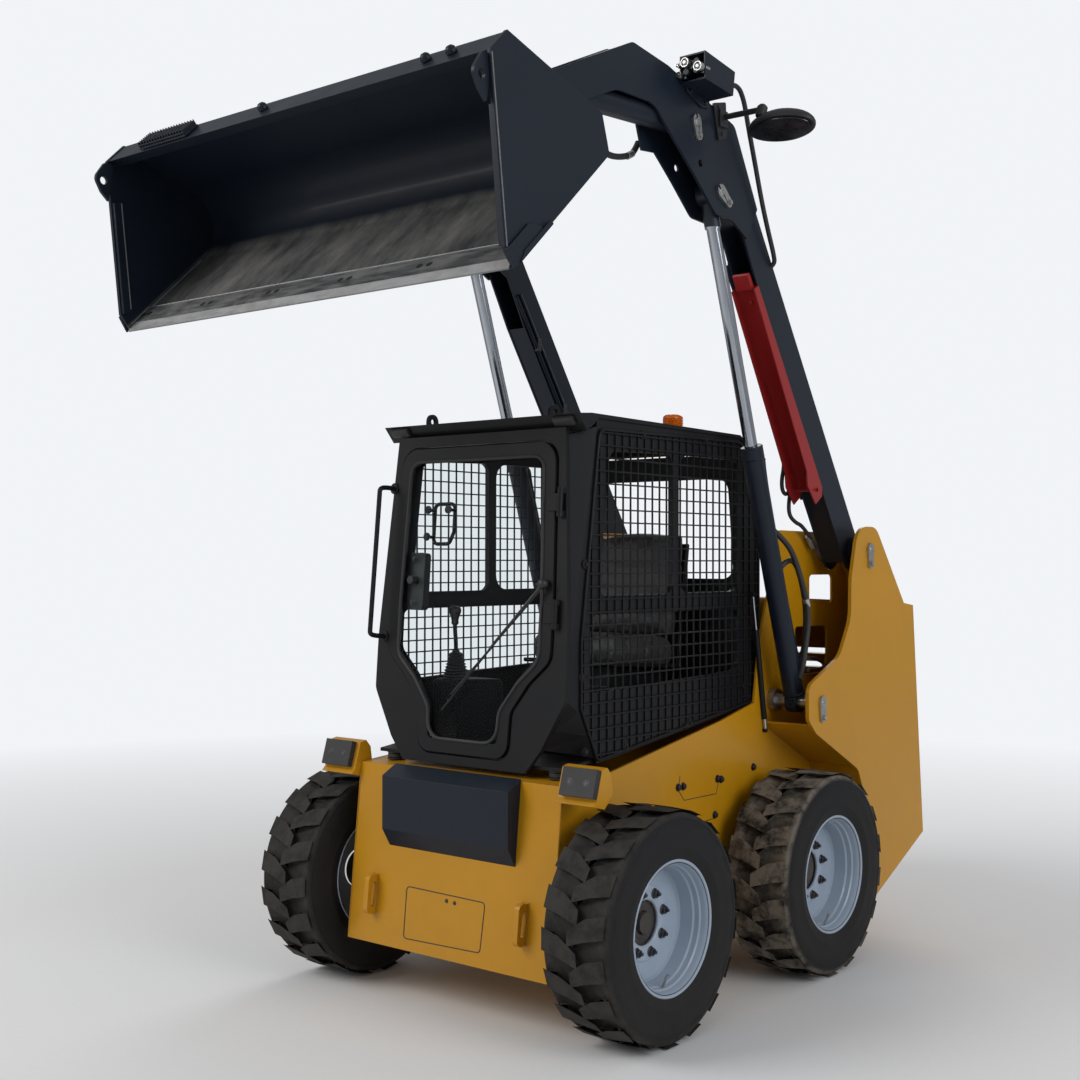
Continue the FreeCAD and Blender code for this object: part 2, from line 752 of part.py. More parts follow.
def rear_edge(z):
    """Rear edge of the machine at a height."""
    slope = (s.tail_top_y - s.tail_y) / (s.tail_top_z - s.tail_z)
    return s.tail_y + (z - s.tail_z) * slope


def build_rear_frame():
    """Rear bumper between the side plates, which also weighs the machine's tail down."""
    body = new_body("rear_bumper")
    half = s.frame_half - s.frame_plate - s.seat_gap
    low = s.tail_z + 21
    high = s.bumper_top
    block = [
        (1900, low), (rear_edge(low) - 12, low), (rear_edge(high) - 12, high), (1900, high),
    ]
    slab(body, "x", -half, half * 2, [block])
    place(body)
    keep(body, "rear_bumper")


def rear_lean():
    """Turn that lays a piece's own Z along the sloping rear."""
    return bearing(s.tail_top_y - s.tail_y, s.tail_top_z - s.tail_z)


def build_rear_door():
    """Louvred engine door in the sloping rear, with the knuckles of its hinges on the right."""
    body = new_body("rear_door")
    half = s.frame_half - s.frame_plate - s.door_gap
    low = s.door_gap
    high = s.rear_door_height
    slab(body, "y", -s.door_recess - 30, 30, [box_corners(-half, low, half, high, 12)])
    slots = []
    for row in range(9):
        z = low + 100 + row * 62
        slots.append(box_corners(-half + 90, z, half - 90, z + 26, 10))
    carve(body, "y", -s.door_recess - 31, 32, slots)
    y = s.hinge_radius + 1 - s.door_recess
    x = -half + s.hinge_radius
    for z in s.rear_hinge_low, s.rear_hinge_high:
        slab(body, "z", z, s.knuckle, [box_corners(x, -s.door_recess - 1, x + 60, 6 - s.door_recess)])
        slab(body, "z", z, s.knuckle, [], [(x, y, s.hinge_radius)])
        carve(body, "z", z - 1, s.knuckle + 2, [], [(x, y, s.hinge_pin + s.run_gap)])
    place(body, rear_edge(s.bumper_top), s.bumper_top, 0, rear_lean())
    keep(body, "rear_door")


def build_rear_hinges():
    """Hinge pins of the engine door, each on an arm from the side plate's rear edge."""
    half = s.frame_half - s.frame_plate - s.door_gap
    y = s.hinge_radius + 1 - s.door_recess
    x = -half + s.hinge_radius
    items = []
    for name, z in (("low", s.rear_hinge_low), ("high", s.rear_hinge_high)):
        body = new_body("rear_hinge_" + name)
        slab(body, "z", z - 20, s.knuckle + 40, [], [(x, y, s.hinge_pin)])
        for level in (z - 20, z + s.knuckle + s.seat_gap):
            arm = box_corners(1 - s.frame_half, s.seat_gap - 10, x, y + s.hinge_radius - 2)
            slab(body, "z", level, 19.7, [arm])
            slab(body, "z", level, 19.7, [], [(x, y, s.hinge_radius)])
        place(body, rear_edge(s.bumper_top), s.bumper_top, 0, rear_lean())
        items.append(body)
    group(items, "rear_hinges")


# Boom
def arm_outline():
    """Straight part of the arm, from round its pivot up to the bent front."""
    return [
        arm_point(-s.arm_tail, s.arm_back) + (40,), arm_point(1482, s.arm_back),
        arm_point(1482, -s.arm_front + 20), arm_point(1200, -s.arm_front),
        arm_point(-s.arm_tail, -s.arm_front) + (60,),
    ]


def goose_outline():
    """Bent front of the boom, from the arm over the arch to the bucket pivot."""
    nose_y, nose_z = hinge
    r = s.nose_radius
    return [
        arm_point(1482, s.arm_back), (617, 3159, 40), (195, 3270, 120), (-13, 3296, 45),
        (-440, 3090, 60),
        (nose_y - r * 1.15, nose_z + r * 0.9, r - 8), (nose_y - r * 1.05, nose_z - r, r - 8),
        (nose_y + r * 1.3, nose_z - r * 0.95, 30), (-258, 3044, 150), (-100, 3116, 120), (110, 3120, 110),
        (360, 2925, 80), (s.lift_eye_y - 30, s.lift_eye_z - 85, 50),
        (s.lift_eye_y + 85, s.lift_eye_z - 90, 40), arm_point(1420, -s.arm_front + 14),
    ]


def foot_outline():
    """Foot on the inner plate that meets the stop pad when the boom is down."""
    toe = raised(-225.7, 834)
    heel = raised(-204.4, 912)
    return [toe, heel, (330, 3010), (205, 3060), (150, 3085)]


def crown_line():
    """Upper edge of the bent front, from the arm to the slot where the coupler swings in."""
    return [
        arm_point(1482, s.arm_back), (617, 3159, 40), (195, 3270, 120), (-13, 3296, 45),
        (-200, 3207.5),
    ]


def build_boom_arms():
    body = new_body("boom_arm")
    inner = s.arm_inner_x
    outer = s.arm_outer_x
    wall = s.arm_wall
    holes = [(s.pivot_y, s.pivot_z, s.pin_radius + 5 + s.run_gap)]
    slab(body, "x", inner, wall, [arm_outline()])
    slab(body, "x", inner, wall, [goose_outline()])
    slab(body, "x", inner, wall, [foot_outline()])
    slab(body, "x", outer - wall, wall, [arm_outline()])
    slab(body, "x", outer, s.goose_plate, [goose_outline()])
    low = -s.arm_tail + 50
    back_strip = ribbon([arm_point(low, s.arm_back), arm_point(1440, s.arm_back)], wall, s.weld_step)
    front_strip = ribbon(
        [arm_point(1190, -s.arm_front), arm_point(low + 10, -s.arm_front)], wall, s.weld_step
    )
    crown = ribbon(crown_line(), wall, s.weld_step)
    slab(body, "x", inner + 1, outer - inner - 2, [back_strip])
    slab(body, "x", inner + 1, outer - inner - 2, [front_strip])
    slab(body, "x", inner + 1, outer - inner, [crown])
    boss = [(s.pivot_y, s.pivot_z, 52)]
    slab(body, "x", inner - 16, outer - inner + 32, [], boss)
    carve(body, "x", inner - 20, outer - inner + 60, [], holes)
    bores = [(392, 2976, 13)]
    for y, z in (hinge, (s.tilt_base_y, s.tilt_base_z)):
        bores.append((y, z, s.pin_radius + s.run_gap))
    carve(body, "x", inner - 20, outer - inner + 60, [], bores)
    place(body)
    pair(body, "boom_arms")


def build_cross_tube():
    body = new_body("cross_tube")
    half = s.arm_inner_x - s.seat_gap
    where = [(s.cross_tube_y, s.cross_tube_z, s.cross_tube_radius)]
    slab(body, "x", -half, half * 2, [], where)
    carve(body, "x", -half - 1, half * 2 + 2, [], [(s.cross_tube_y, s.cross_tube_z, s.cross_tube_radius - 8)])
    place(body)
    keep(body, "cross_tube")


def build_boom_pins():
    """Bucket pivot pins and the capped stubs that hold the cylinder eyes."""
    items = []
    inner = s.arm_inner_x
    outer = s.arm_outer_x + s.goose_plate
    body = new_body("bucket_pin")
    slab(body, "x", inner, outer - inner + s.pin_cap, [], [(hinge[0], hinge[1], s.pin_radius)])
    slab(body, "x", outer + s.seat_gap, s.pin_cap, [], [(hinge[0], hinge[1], s.pin_radius + 12)])
    place(body)
    items += [body, mirror_of(body, "bucket_pin_mirror")]
    for name, y, z, start in (
        ("lift_eye", s.lift_eye_y, s.lift_eye_z, outer + s.seat_gap),
        ("tilt_base", s.tilt_base_y, s.tilt_base_z, inner),
    ):
        body = new_body(name + "_pin")
        retainer(body, outer + s.seat_gap, y, z, reach=60)
        slab(body, "x", start, outer + 14 - start, [], [(y, z, s.pin_radius)])
        place(body)
        items += [body, mirror_of(body, name + "_pin_mirror")]
    group(items, "boom_pins")


def build_coupler_box():
    """Open-fronted box with the quick couplings for attachments."""
    body = new_body("coupling_box")
    x = s.arm_outer_x + s.goose_plate + s.seat_gap
    shell = [(262, 3318), (452, 3292), (440, 3205), (262, 3222)]
    room = [(200, 3321), (446, 3286), (435, 3212), (200, 3233)]
    slab(body, "x", x, 105, [shell])
    carve(body, "x", x + 5, 95, [room])
    for z in (3258, 3286):
        for step in (30, 72):
            slab(body, "y", 255, 60, [], [(x + step, z, 12)])
    slab(body, "y", 310, 130, [box_corners(x + 8, 3240, x + 97, 3290)])
    place(body)
    keep(body, "coupling_box")


def build_mirrors():
    """Mirrors on tubes at the boom's bend, upright once the boom is down."""
    body = new_body("mirror")
    x = s.arm_outer_x + s.goose_plate + s.seat_gap
    slab(body, "x", x, 22, [[(465, 3206), (499, 3079), (552, 3100), (545, 3227)]])
    slab(body, "x", x + 20, 230, [], [(520, 3165, 11)])
    head = [(480, 3120, 10), (620, 3068, 15), (640, 3100, 15), (575, 3180, 30), (505, 3185, 20)]
    slab(body, "x", x + 105, 260, [head])
    place(body)
    pair(body, "mirrors")


def build_arm_lock():
    """Channel that holds the boom up for service, stowed under the left arm."""
    body = new_body("arm_lock")
    inner = s.arm_inner_x + 4
    outer = s.arm_outer_x + 6
    gap = -s.arm_front - s.seat_gap
    web = [
        arm_point(360, gap), arm_point(1240, gap), arm_point(1240, gap - 6), arm_point(360, gap - 6),
    ]
    flange = [
        arm_point(360, gap), arm_point(1240, gap), arm_point(1240, gap - 34),
        arm_point(470, gap - 70), arm_point(420, gap - 95), arm_point(330, gap - 80),
        arm_point(330, gap - 20),
    ]
    slab(body, "x", inner, outer - inner, [web])
    slab(body, "x", inner, 6, [flange])
    slab(body, "x", outer - 6, 6, [flange])
    pin = arm_point(375, gap - 45)
    slab(body, "x", inner - 12, outer - inner + 24, [], [pin + (7,)])
    place(body)
    keep(body, "arm_lock")


# Cylinders: barrels start at their pin and point up, rods start at their eye and point down
def barrel(name, radius, rod, length):
    body = new_body(name)
    wall = s.barrel_wall
    inside = radius - wall
    profile = [
        (0, 36), (radius, 36), (radius, length - s.gland_length), (radius + 4, length - s.gland_length),
        (radius + 4, length - 6), (radius, length), (rod + s.run_gap, length),
        (rod + s.run_gap, length - s.gland_length), (inside, length - s.gland_length),
        (inside, 90), (0, 90),
    ]
    turned(body, "V_Axis", profile, plane="x")
    half = s.eye_width / 2
    slab(body, "x", -half, half * 2, [], [(0, 0, s.eye_radius)])
    return body


def bore_eye(body, radius):
    half = s.eye_width / 2
    carve(body, "x", -half - 1, half * 2 + 2, [], [(0, 0, radius + s.run_gap)])


def rod(name, radius, length, collar):
    body = new_body(name)
    profile = [
        (0, -30), (radius + 5, -30), (radius + 5, -collar), (radius, -collar), (radius, -length),
        (0, -length),
    ]
    turned(body, "V_Axis", profile, plane="x")
    half = s.eye_width / 2
    slab(body, "x", -half, half * 2, [], [(0, 0, s.eye_radius)])
    return body


def put_pair(body, label, y, z, turn):
    """The left piece on its pin, and its mirror image on the right."""
    place(body, y, z, s.cylinder_x, turn)
    body.Label = label + "_source"
    keep(mirror_of(body, label + "_right"), label + "_right")
    keep(body, label + "_left")


def build_cylinders():
    lift_turn = bearing(s.lift_eye_y - s.lift_base_y, s.lift_eye_z - s.lift_base_z)
    tilt_turn = bearing(tilt_eye[0] - s.tilt_base_y, tilt_eye[1] - s.tilt_base_z)
    part = barrel("lift_barrel", s.lift_barrel_radius, s.lift_rod_radius, s.lift_barrel_length)
    bore_eye(part, s.pin_radius + 5)
    put_pair(part, "lift_barrel", s.lift_base_y, s.lift_base_z, lift_turn)
    part = rod("lift_rod", s.lift_rod_radius, s.lift_rod_length, s.lift_rod_collar)
    bore_eye(part, s.pin_radius)
    put_pair(part, "lift_rod", s.lift_eye_y, s.lift_eye_z, lift_turn)
    part = barrel("tilt_barrel", s.tilt_barrel_radius, s.tilt_rod_radius, s.tilt_barrel_length)
    bore_eye(part, s.pin_radius)
    put_pair(part, "tilt_barrel", s.tilt_base_y, s.tilt_base_z, tilt_turn)
    part = rod("tilt_rod", s.tilt_rod_radius, s.tilt_rod_length, as_size(80))
    bore_eye(part, s.pin_radius)
    put_pair(part, "tilt_rod", tilt_eye[0], tilt_eye[1], tilt_turn)


# Bucket, modelled with its floor level and its cutting edge at zero
def build_bucket():
    body = new_body("bucket_shell")
    high = s.bucket_height
    radius = s.bend_radius
    lean = s.back_lean
    top_along = back_foot_along - (high - back_foot_up) * sine(lean) / cosine(lean)
    corner_along = s.floor_flat + (radius + radius * sine(lean)) / cosine(lean)
    shell = [
        (s.edge_depth, 0), (corner_along, 0, radius), (top_along, high), (321, high - 3), (349, high - 41),
    ]
    inner = s.bucket_half - s.bucket_side
    slab(body, "x", -inner - 1, inner * 2 + 2, [ribbon(shell, s.bucket_plate)])
    side = offset_line([
        (0, 0), (588, 0), (602, 28), (back_foot_along, back_foot_up), (top_along, high), (321, high - 3),
        (8, 63),
    ], -s.weld_step.number)
    lug = [(225, 385), (330, 470), (300, 492, 10), (235, 478, 28), (222, 425, 25)]
    slab(body, "x", inner, s.bucket_side, [side])
    slab(body, "x", -inner - s.bucket_side, s.bucket_side, [side])
    for x in (inner - 12, -inner):
        slab(body, "x", x, 12, [lug])
    carve(body, "x", -inner - 1, inner * 2 + 2, [], [(256, 449, 14)])
    y, z = s.bucket_tip_y, s.bucket_tip_z
    place(body, y, z, 0, s.dump_angle)
    keep(body, "bucket_shell")


def build_cutting_edge():
    body = new_body("cutting_edge")
    thick = s.edge_plate - s.seat_gap
    inner = s.bucket_half - s.bucket_side - s.seat_gap
    depth = s.edge_depth - s.seat_gap
    blade = [(-8, 0), (depth, 0), (depth, thick), (24, thick), (-8, 5)]
    slab(body, "x", -inner, inner * 2, [blade])
    place(body, s.bucket_tip_y, s.bucket_tip_z, 0, s.dump_angle)
    keep(body, "cutting_edge")


def build_step_grating():
    """Step on the bucket's top edge: a toothed plate between two ends."""
    body = new_body("step_grating")
    base = s.bucket_height + s.seat_gap
    slab(body, "x", -700, 250, [[(330, base), (405, base), (405, base + 8), (330, base + 8)]])
    for row in range(12):
        x = -696 + row * 21
        slab(body, "x", x, 10, [[(334, base + 6), (401, base + 6), (401, base + 26), (334, base + 26)]])
    place(body, s.bucket_tip_y, s.bucket_tip_z, 0, s.dump_angle)
    keep(body, "step_grating")


def build_coupler():
    """Quick coupler: back plate with ears for the bucket pivot and the tilt cylinder."""
    body = new_body("coupler_frame")
    t = s.coupler_plate
    half = s.coupler_half
    gap = s.seat_gap
    slab(body, "x", -half, half * 2, [box_corners(gap, 12, gap + t, s.coupler_height)])
    windows = [box_corners(-470, 80, -120, 300, 30), box_corners(120, 80, 470, 300, 30)]
    carve(body, "y", -5, 40, windows)
    ear = [
        (t, 12), (s.hinge_off - 30, s.hinge_up - 46, 20), (s.hinge_off + 44, s.hinge_up - 46, 42),
        (s.hinge_off + 42, s.tilt_up + 44, 40), (s.hinge_off - 30, s.tilt_up + 44, 30), (t, 335),
    ]
    off = s.eye_width / 2 + s.side_gap
    for x in (s.cylinder_x + off, s.cylinder_x - off - t, -s.cylinder_x + off, -s.cylinder_x - off - t):
        slab(body, "x", x, t, [ear])
    pin = s.pin_radius + s.run_gap
    carve(body, "x", -700, 1400, [], [(s.hinge_off, s.hinge_up, pin)])
    place(body, back_foot[0], back_foot[1], 0, s.dump_angle + s.back_lean)
    keep(body, "coupler_frame")


# Cab
def under_roof(y):
    """Underside of the roof."""
    return s.roof_z - 10 - (y - 36) * 10 / 902.0


def side_outline():
    gap = s.seat_gap
    return [
        (-67, 1065), (38, 881), (1075, 1017), (s.cab_rear_y - 1, 1100), (s.cab_rear_y - 1, 1536),
        (1034, 1999), (936, under_roof(936) - gap), (37, under_roof(37) - gap), (35, 2034), (-66, 1306),
    ]


def build_cab_sides():
    """Side walls with two upper windows and a low one."""
    body = new_body("cab_side")
    holes = [
        [(45, 1452, 40), (487, 1452, 40), (487, 1962, 40), (110, 1950, 40)],
        box_corners(530, 1455, 942, 1962, 60),
        [(0, 1120, 40), (940, 1150, 40), (940, 1388, 40), (0, 1388, 40)],
    ]
    slab(body, "x", s.cab_half - s.cab_wall, s.cab_wall, [side_outline()] + holes)
    place(body)
    pair(body, "cab_sides")


def mesh_layer(name, axis, low, high, start, stop, x, outline_corners):
    """One layer of parallel wires, kept inside an outline."""
    wire = s.mesh_wire.number
    pitch = s.mesh_pitch.number
    corners = [Vector(x, number_of(c[0]), number_of(c[1])) for c in outline_corners]
    face = Part.Face(Part.makePolygon(corners + corners[:1]))
    prism = face.extrude(Vector(wire, 0, 0))
    bars = []
    count = int((stop - start) / pitch)
    for i in range(count + 1):
        at = start + i * pitch
        if axis == "z":
            bar = Part.makeBox(wire, wire, high - low, Vector(x, at, low))
        else:
            bar = Part.makeBox(wire, high - low, wire, Vector(x, low, at))
        bars += prism.common(bar).Solids
    return bars


def build_side_meshes():
    gap = s.seat_gap.number
    x = s.cab_half.number + gap
    wire = s.mesh_wire.number
    corners = [
        (-55, 1075), (32, 892), (1065, 1028), (1078, 1105), (1078, 1580), (1020, 1985), (935, 2033),
        (45, 2022), (-55, 1300),
    ]
    bars = mesh_layer("upright", "z", 800, 2100, -40, 1070, x, corners)
    bars += mesh_layer("level", "y", -100, 1150, 910, 2020, x + wire + gap, corners)
    mesh = doc.addObject("Part::Feature", "side_mesh")
    mesh.Shape = Part.makeCompound(bars)
    place(mesh)
    keep(mesh, "side_mesh_left")
    keep(mirror_of(mesh, "side_mesh_mirror"), "side_mesh_right")


def build_cab_front():
    """Leaning front of the cab with the door opening, local Z along the lean."""
    body = new_body("cab_front")
    t = s.cab_wall
    shape = [
        (-290, -10), (290, -10), (355, 70, 40), (450, 240, 60), (450, 430), (397, 1167), (-397, 1167),
        (-450, 430), (-450, 240, 60), (-355, 70, 40),
    ]
    slab(body, "y", 0, t, [shape, door_line(0)])
    lean_front(body)
    keep(body, "cab_front")


def knuckle_levels():
    return s.cab_hinge_low, s.cab_hinge_high


def door_line(inset):
    """Outline of the door opening, wide at the top and narrow at the foot."""
    i = as_size(inset)
    right = [
        (218 - i, 22 + i, 62 - i * 0.8), (224 - i, 190, 60), (300 - i, 290 + i * 0.3, 70),
        (390 - i, 370 + i * 0.4, 70 - i * 0.5), (392 - i, 560), (372 - i, 1128 - i, 80 - i * 0.6),
    ]
    left = [(-corner[0],) + tuple(corner[1:]) for corner in reversed(right)]
    return right + left


def lean_front(body):
    """Put a piece into the leaning plane of the cab's front."""
    place(body, s.cab_front_y, s.cab_front_z, 0, -s.cab_lean)


def build_door():
    """Framed glass door, hinged on the machine's left side."""
    gap = s.door_gap
    front = -s.door_proud
    ring = new_body("door_frame")
    slab(ring, "y", front, s.door_depth, [door_line(gap), door_line(gap + s.door_frame)])
    for z in knuckle_levels():
        leaf = box_corners(s.cab_hinge_x - 50, front - 6, s.cab_hinge_x, front + 0.5)
        slab(ring, "z", z, s.knuckle, [leaf])
        slab(ring, "z", z, s.knuckle, [], [(s.cab_hinge_x, -s.cab_hinge_y, s.hinge_radius)])
        bore = (s.cab_hinge_x, -s.cab_hinge_y, s.hinge_pin + s.run_gap)
        carve(ring, "z", z - 1, s.knuckle + 2, [], [bore])
    lean_front(ring)
    keep(ring, "door_frame")
    pane = new_body("door_glass")
    slab(pane, "y", front + 10, s.glass, [door_line(gap + s.door_frame + s.seat_gap)])
    lean_front(pane)
    keep(pane, "door_glass")


def build_cab_hinges():
    """Hinge pins of the cab door, on leaves that sit on the cab's front."""
    items = []
    for name, z in zip(("low", "high"), knuckle_levels()):
        body = new_body("cab_hinge_" + name)
        x, y = s.cab_hinge_x, -s.cab_hinge_y
        slab(body, "z", z - 20, s.knuckle + 40, [], [(x, y, s.hinge_pin)])
        for level in (z - 20, z + s.knuckle + s.seat_gap):
            slab(body, "z", level, 19.7, [box_corners(x, y + 3, x + 12, -s.seat_gap)])
            slab(body, "z", level, 19.7, [], [(x, y, s.hinge_radius)])
        lean_front(body)
        items.append(body)
    group(items, "cab_hinges")


def build_wiper():
    """Wiper with its motor cap, across the door glass."""
    body = new_body("wiper")
    front = -s.door_proud - s.seat_gap
    slab(body, "y", front - 26, 8, [
        [(355, 625), (375, 645), (120, 395), (-85, 175), (-95, 185), (110, 405)],
    ])
    slab(body, "y", front - 26, 26, [], [(352, 632, 18)])
    lean_front(body)
    keep(body, "wiper")


def build_cab_rear():
    """Rear wall, upright below and leaning forward above, with its window."""
    body = new_body("cab_rear")
    half = s.cab_half - s.cab_wall - s.seat_gap
    wall = [(s.cab_rear_y, 1032), (s.cab_rear_y, 1536), (1033, 1996)]
    slab(body, "x", -half, half * 2, [ribbon(wall, s.cab_wall)])
    carve(body, "y", 900, 300, [box_corners(-350, 1500, 350, 1900, 50)])
    place(body)
    keep(body, "cab_rear")


def front_back(z):
    """Back face of the cab's front plate at a height."""
    lean = math.radians(s.cab_lean.number)
    face = s.cab_front_y.number + (z - s.cab_front_z.number) * math.tan(lean)
    return face + (s.cab_wall.number + s.seat_gap.number) / math.cos(lean)


def build_pillars():
    """Slanting corner plates between the cab's front and its sides."""
    front = [(394, front_back(z), z) for z in (2000,)] + [(448, front_back(z), z) for z in (1290, 1100)]
    front += [(398, front_back(1000), 1000), (353, front_back(935), 935)]
    side = [(455, 34.2, 2031), (455, -66.4, 1306), (455, -67.4, 1065), (455, -19, 980), (455, 26, 901)]
    outer = [[Vector(*point) for point in line] for line in (front, side)]
    inner = [[point + Vector(-12, 0, 0) for point in line] for line in outer]
    faces = []
    for (a, b), (c, d) in ((outer, inner),):
        faces += between(a, b) + between(d, c) + between(c, a) + between(b, d)
        faces += flat(a[0], b[0], d[0], c[0]) + flat(a[-1], c[-1], d[-1], b[-1])
    pillar = doc.addObject("Part::Feature", "cab_pillar")
    pillar.Shape = Part.Solid(Part.Shell(faces))
    place(pillar)
    pair(pillar, "cab_pillars")


def flat(*corners):
    return [Part.Face(Part.makePolygon(list(corners) + [corners[0]]))]


def between(first, second):
    """Triangles that join two lines of corners."""
    faces = []
    for i in range(len(first) - 1):
        faces += flat(first[i], first[i + 1], second[i])
        faces += flat(first[i + 1], second[i + 1], second[i])
    return faces


def build_roof():
    """Roof plate with the front visor and the folded rear corner."""
    body = new_body("cab_roof")
    half = s.roof_half
    top = s.roof_z
    line = [
        (-76, top), (0, top + 6), (942, top - 8), (1045, 2010), (1040, 2001), (938, top - 20),
        (36, top - 10), (10, 2036), (-29, 2014),
    ]
    slab(body, "x", -half, half * 2, [line])
    for x in (-303, 283):
        eye = [(-18, top - 4), (38, top - 4), (38, top + 46, 27), (-18, top + 46, 27)]
        slab(body, "x", x, 10, [eye], [(10, top + 19, 11)])
    place(body)
    keep(body, "cab_roof")


def build_cab_floor():
    body = new_body("cab_floor")
    half = s.cab_half - s.cab_wall - s.seat_gap
    pan = [(-118, 866), (38, 884), (1066, 1019), (1066, 1031), (38, 896), (-118, 878)]
    slab(body, "x", -half, half * 2, [pan])
    place(body)
    keep(body, "cab_floor")


def build_seat():
    body = new_body("seat")
    cushion = [(430, 1190, 30), (900, 1160, 40), (900, 1270), (430, 1300, 50)]
    back = [(820, 1240), (900, 1220), (985, 1700, 40), (890, 1720, 40)]
    stand = [(500, 957.1), (880, 1007.1), (850, 1180), (520, 1200)]
    slab(body, "x", -240, 480, [cushion])
    slab(body, "x", -230, 460, [back])
    slab(body, "x", -150, 300, [stand])
    place(body)
    keep(body, "seat")


def build_controls():
    """Lever on each side of the seat, with its rubber boot on a console."""
    body = new_body("control")
    slab(body, "x", 200, 120, [[(40, 896.6), (300, 930.8), (300, 1120, 20), (40, 1135, 20)]])
    for step in range(4):
        slab(body, "z", 1134 + step * 24, 25, [], [(258, 100, 52 - step * 8)])
    slab(body, "z", 1225, 130, [], [(258, 100, 12)])
    slab(body, "z", 1340, 60, [], [(258, 100, 22)])
    place(body)
    pair(body, "controls")


def build_beacon():
    body = new_body("beacon")
    base = s.roof_z - 3.7
    slab(body, "z", base, 14, [], [(300, 717, 44)])
    slab(body, "z", base + 14, 55, [], [(300, 717, 39)])
    place(body)
    keep(body, "beacon")


def build_work_lamps():
    body = new_body("work_lamp")
    slab(body, "x", 345, 90, [[(-71.5, 2063.3), (-78.4, 2057.4), (-54.9, 2029.9), (-48.0, 2035.8)]])
    place(body)
    pair(body, "work_lamps")


def build_handle():
    """Grab handle beside the door."""
    body = new_body("grab_handle")
    slab(body, "y", -80, 80 - s.seat_gap, [], [(-408, 980, 9), (-418, 430, 9)])
    bar = [(-417, 975), (-399, 985), (-409, 425), (-427, 430)]
    slab(body, "y", -84, 18, [bar])
    lean_front(body)
    keep(body, "grab_handle")


def build_cab_mounts():
    """Rubber mounts under the cab's front corners."""
    body = new_body("cab_mount")
    slab(body, "z", s.front_top_z + 8.3, 27.7, [], [(385, -86, 30)])
    place(body)
    pair(body, "cab_mounts")


def build_all():
    build_wheels()
    build_axles()
    build_main_frame()
    build_front_panel()
    build_front_cover()
    build_boom_stops()
    build_towers()
    build_chassis_pins()
    build_hood()
    build_engine()
    build_rear_frame()
    build_rear_door()
    build_rear_hinges()
    build_boom_arms()
    build_cross_tube()
    build_boom_pins()
    build_coupler_box()
    build_mirrors()
    build_arm_lock()
    build_cylinders()
    build_bucket()
    build_cutting_edge()
    build_step_grating()
    build_coupler()
    build_cab_sides()
    build_side_meshes()
    build_cab_front()
    build_pillars()
    build_door()
    build_cab_hinges()
    build_wiper()
    build_cab_rear()
    build_roof()
    build_cab_floor()
    build_seat()
    build_controls()
    build_beacon()
    build_work_lamps()
    build_handle()
    build_cab_mounts()


def check_document():
    """Stop when an object failed or a cut removed nothing."""
    failed = [i for i in doc.Objects if "Invalid" in i.State or "Error" in i.State]
    if failed:
        notes = ["%s (%s)" % (i.Name, i.getStatusString()) for i in failed]
        raise RuntimeError("failed objects: " + "; ".join(notes))
    for item in doc.Objects:
        if item.TypeId == "PartDesign::Pocket":
            before = item.BaseFeature.Shape.Volume
            if item.Shape.Volume > before - 1:
                raise RuntimeError("cut removes nothing: " + item.Name)
    for item in nodes:
        if item.Shape.isNull() or not item.Shape.isValid():
            raise RuntimeError("bad shape: " + item.Label)


build_all()
doc.recompute()
check_document()
os.makedirs("parts", exist_ok=True)
for item in nodes:
    item.Shape.exportStep("parts/%s.step" % item.Label)
print("pieces:", len(nodes))
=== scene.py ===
import json
import math

import bmesh
import bpy
from bpy.props import FloatProperty, FloatVectorProperty, IntProperty, PointerProperty
from mathutils import Matrix, Vector


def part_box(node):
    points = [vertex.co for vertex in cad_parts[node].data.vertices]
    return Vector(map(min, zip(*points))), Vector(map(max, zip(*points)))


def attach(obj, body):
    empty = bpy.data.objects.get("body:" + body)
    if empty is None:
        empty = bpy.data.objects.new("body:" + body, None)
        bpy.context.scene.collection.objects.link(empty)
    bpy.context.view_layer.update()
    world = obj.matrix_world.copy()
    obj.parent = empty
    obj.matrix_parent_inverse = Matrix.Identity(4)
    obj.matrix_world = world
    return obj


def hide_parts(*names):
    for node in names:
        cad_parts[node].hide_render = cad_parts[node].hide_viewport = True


bl_info = {
    "name": "Skid Steer Loader Dressing",
    "version": (1, 0, 0),
    "blender": (4, 5, 0),
    "location": "View3D > Sidebar > Loader",
    "description": "Paint, tyres, hoses, bolts and cab fittings for a skid steer loader",
    "category": "Object",
}

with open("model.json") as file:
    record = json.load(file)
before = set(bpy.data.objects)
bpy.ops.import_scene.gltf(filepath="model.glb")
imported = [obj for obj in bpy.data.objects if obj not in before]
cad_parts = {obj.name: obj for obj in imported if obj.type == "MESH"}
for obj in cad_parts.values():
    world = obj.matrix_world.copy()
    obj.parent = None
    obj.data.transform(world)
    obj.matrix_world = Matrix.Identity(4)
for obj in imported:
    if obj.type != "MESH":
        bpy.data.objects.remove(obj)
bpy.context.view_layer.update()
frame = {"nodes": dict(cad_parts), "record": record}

# Lengths below are millimetres: X to the machine's left from its middle, Y to the rear from the
# front axle, Z up from the ground. Pairs are (Y, Z).
MM = 0.001
BACKDROP = (0.95, 0.97, 1.0)
WHEELS = ("front_left", "front_right", "rear_left", "rear_right")
SIDES = (("left", 1.0), ("right", -1.0))
CAMERA_PLACE = (3501.2, -3936.0, 1576.7)
CAMERA_YAW = 39.705
CAMERA_PITCH = 0.757
CAMERA_ROLL = 0.109
CAMERA_LENS = 48.89
CUSHION_VOXEL = 9
CUSHION_CAP = 16
CUSHION_FRAMES = 20
CUSHION_PRESSURE = 4.0


def middle_of(node):
    low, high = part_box(node)
    return (Vector(low) + Vector(high)) / 2


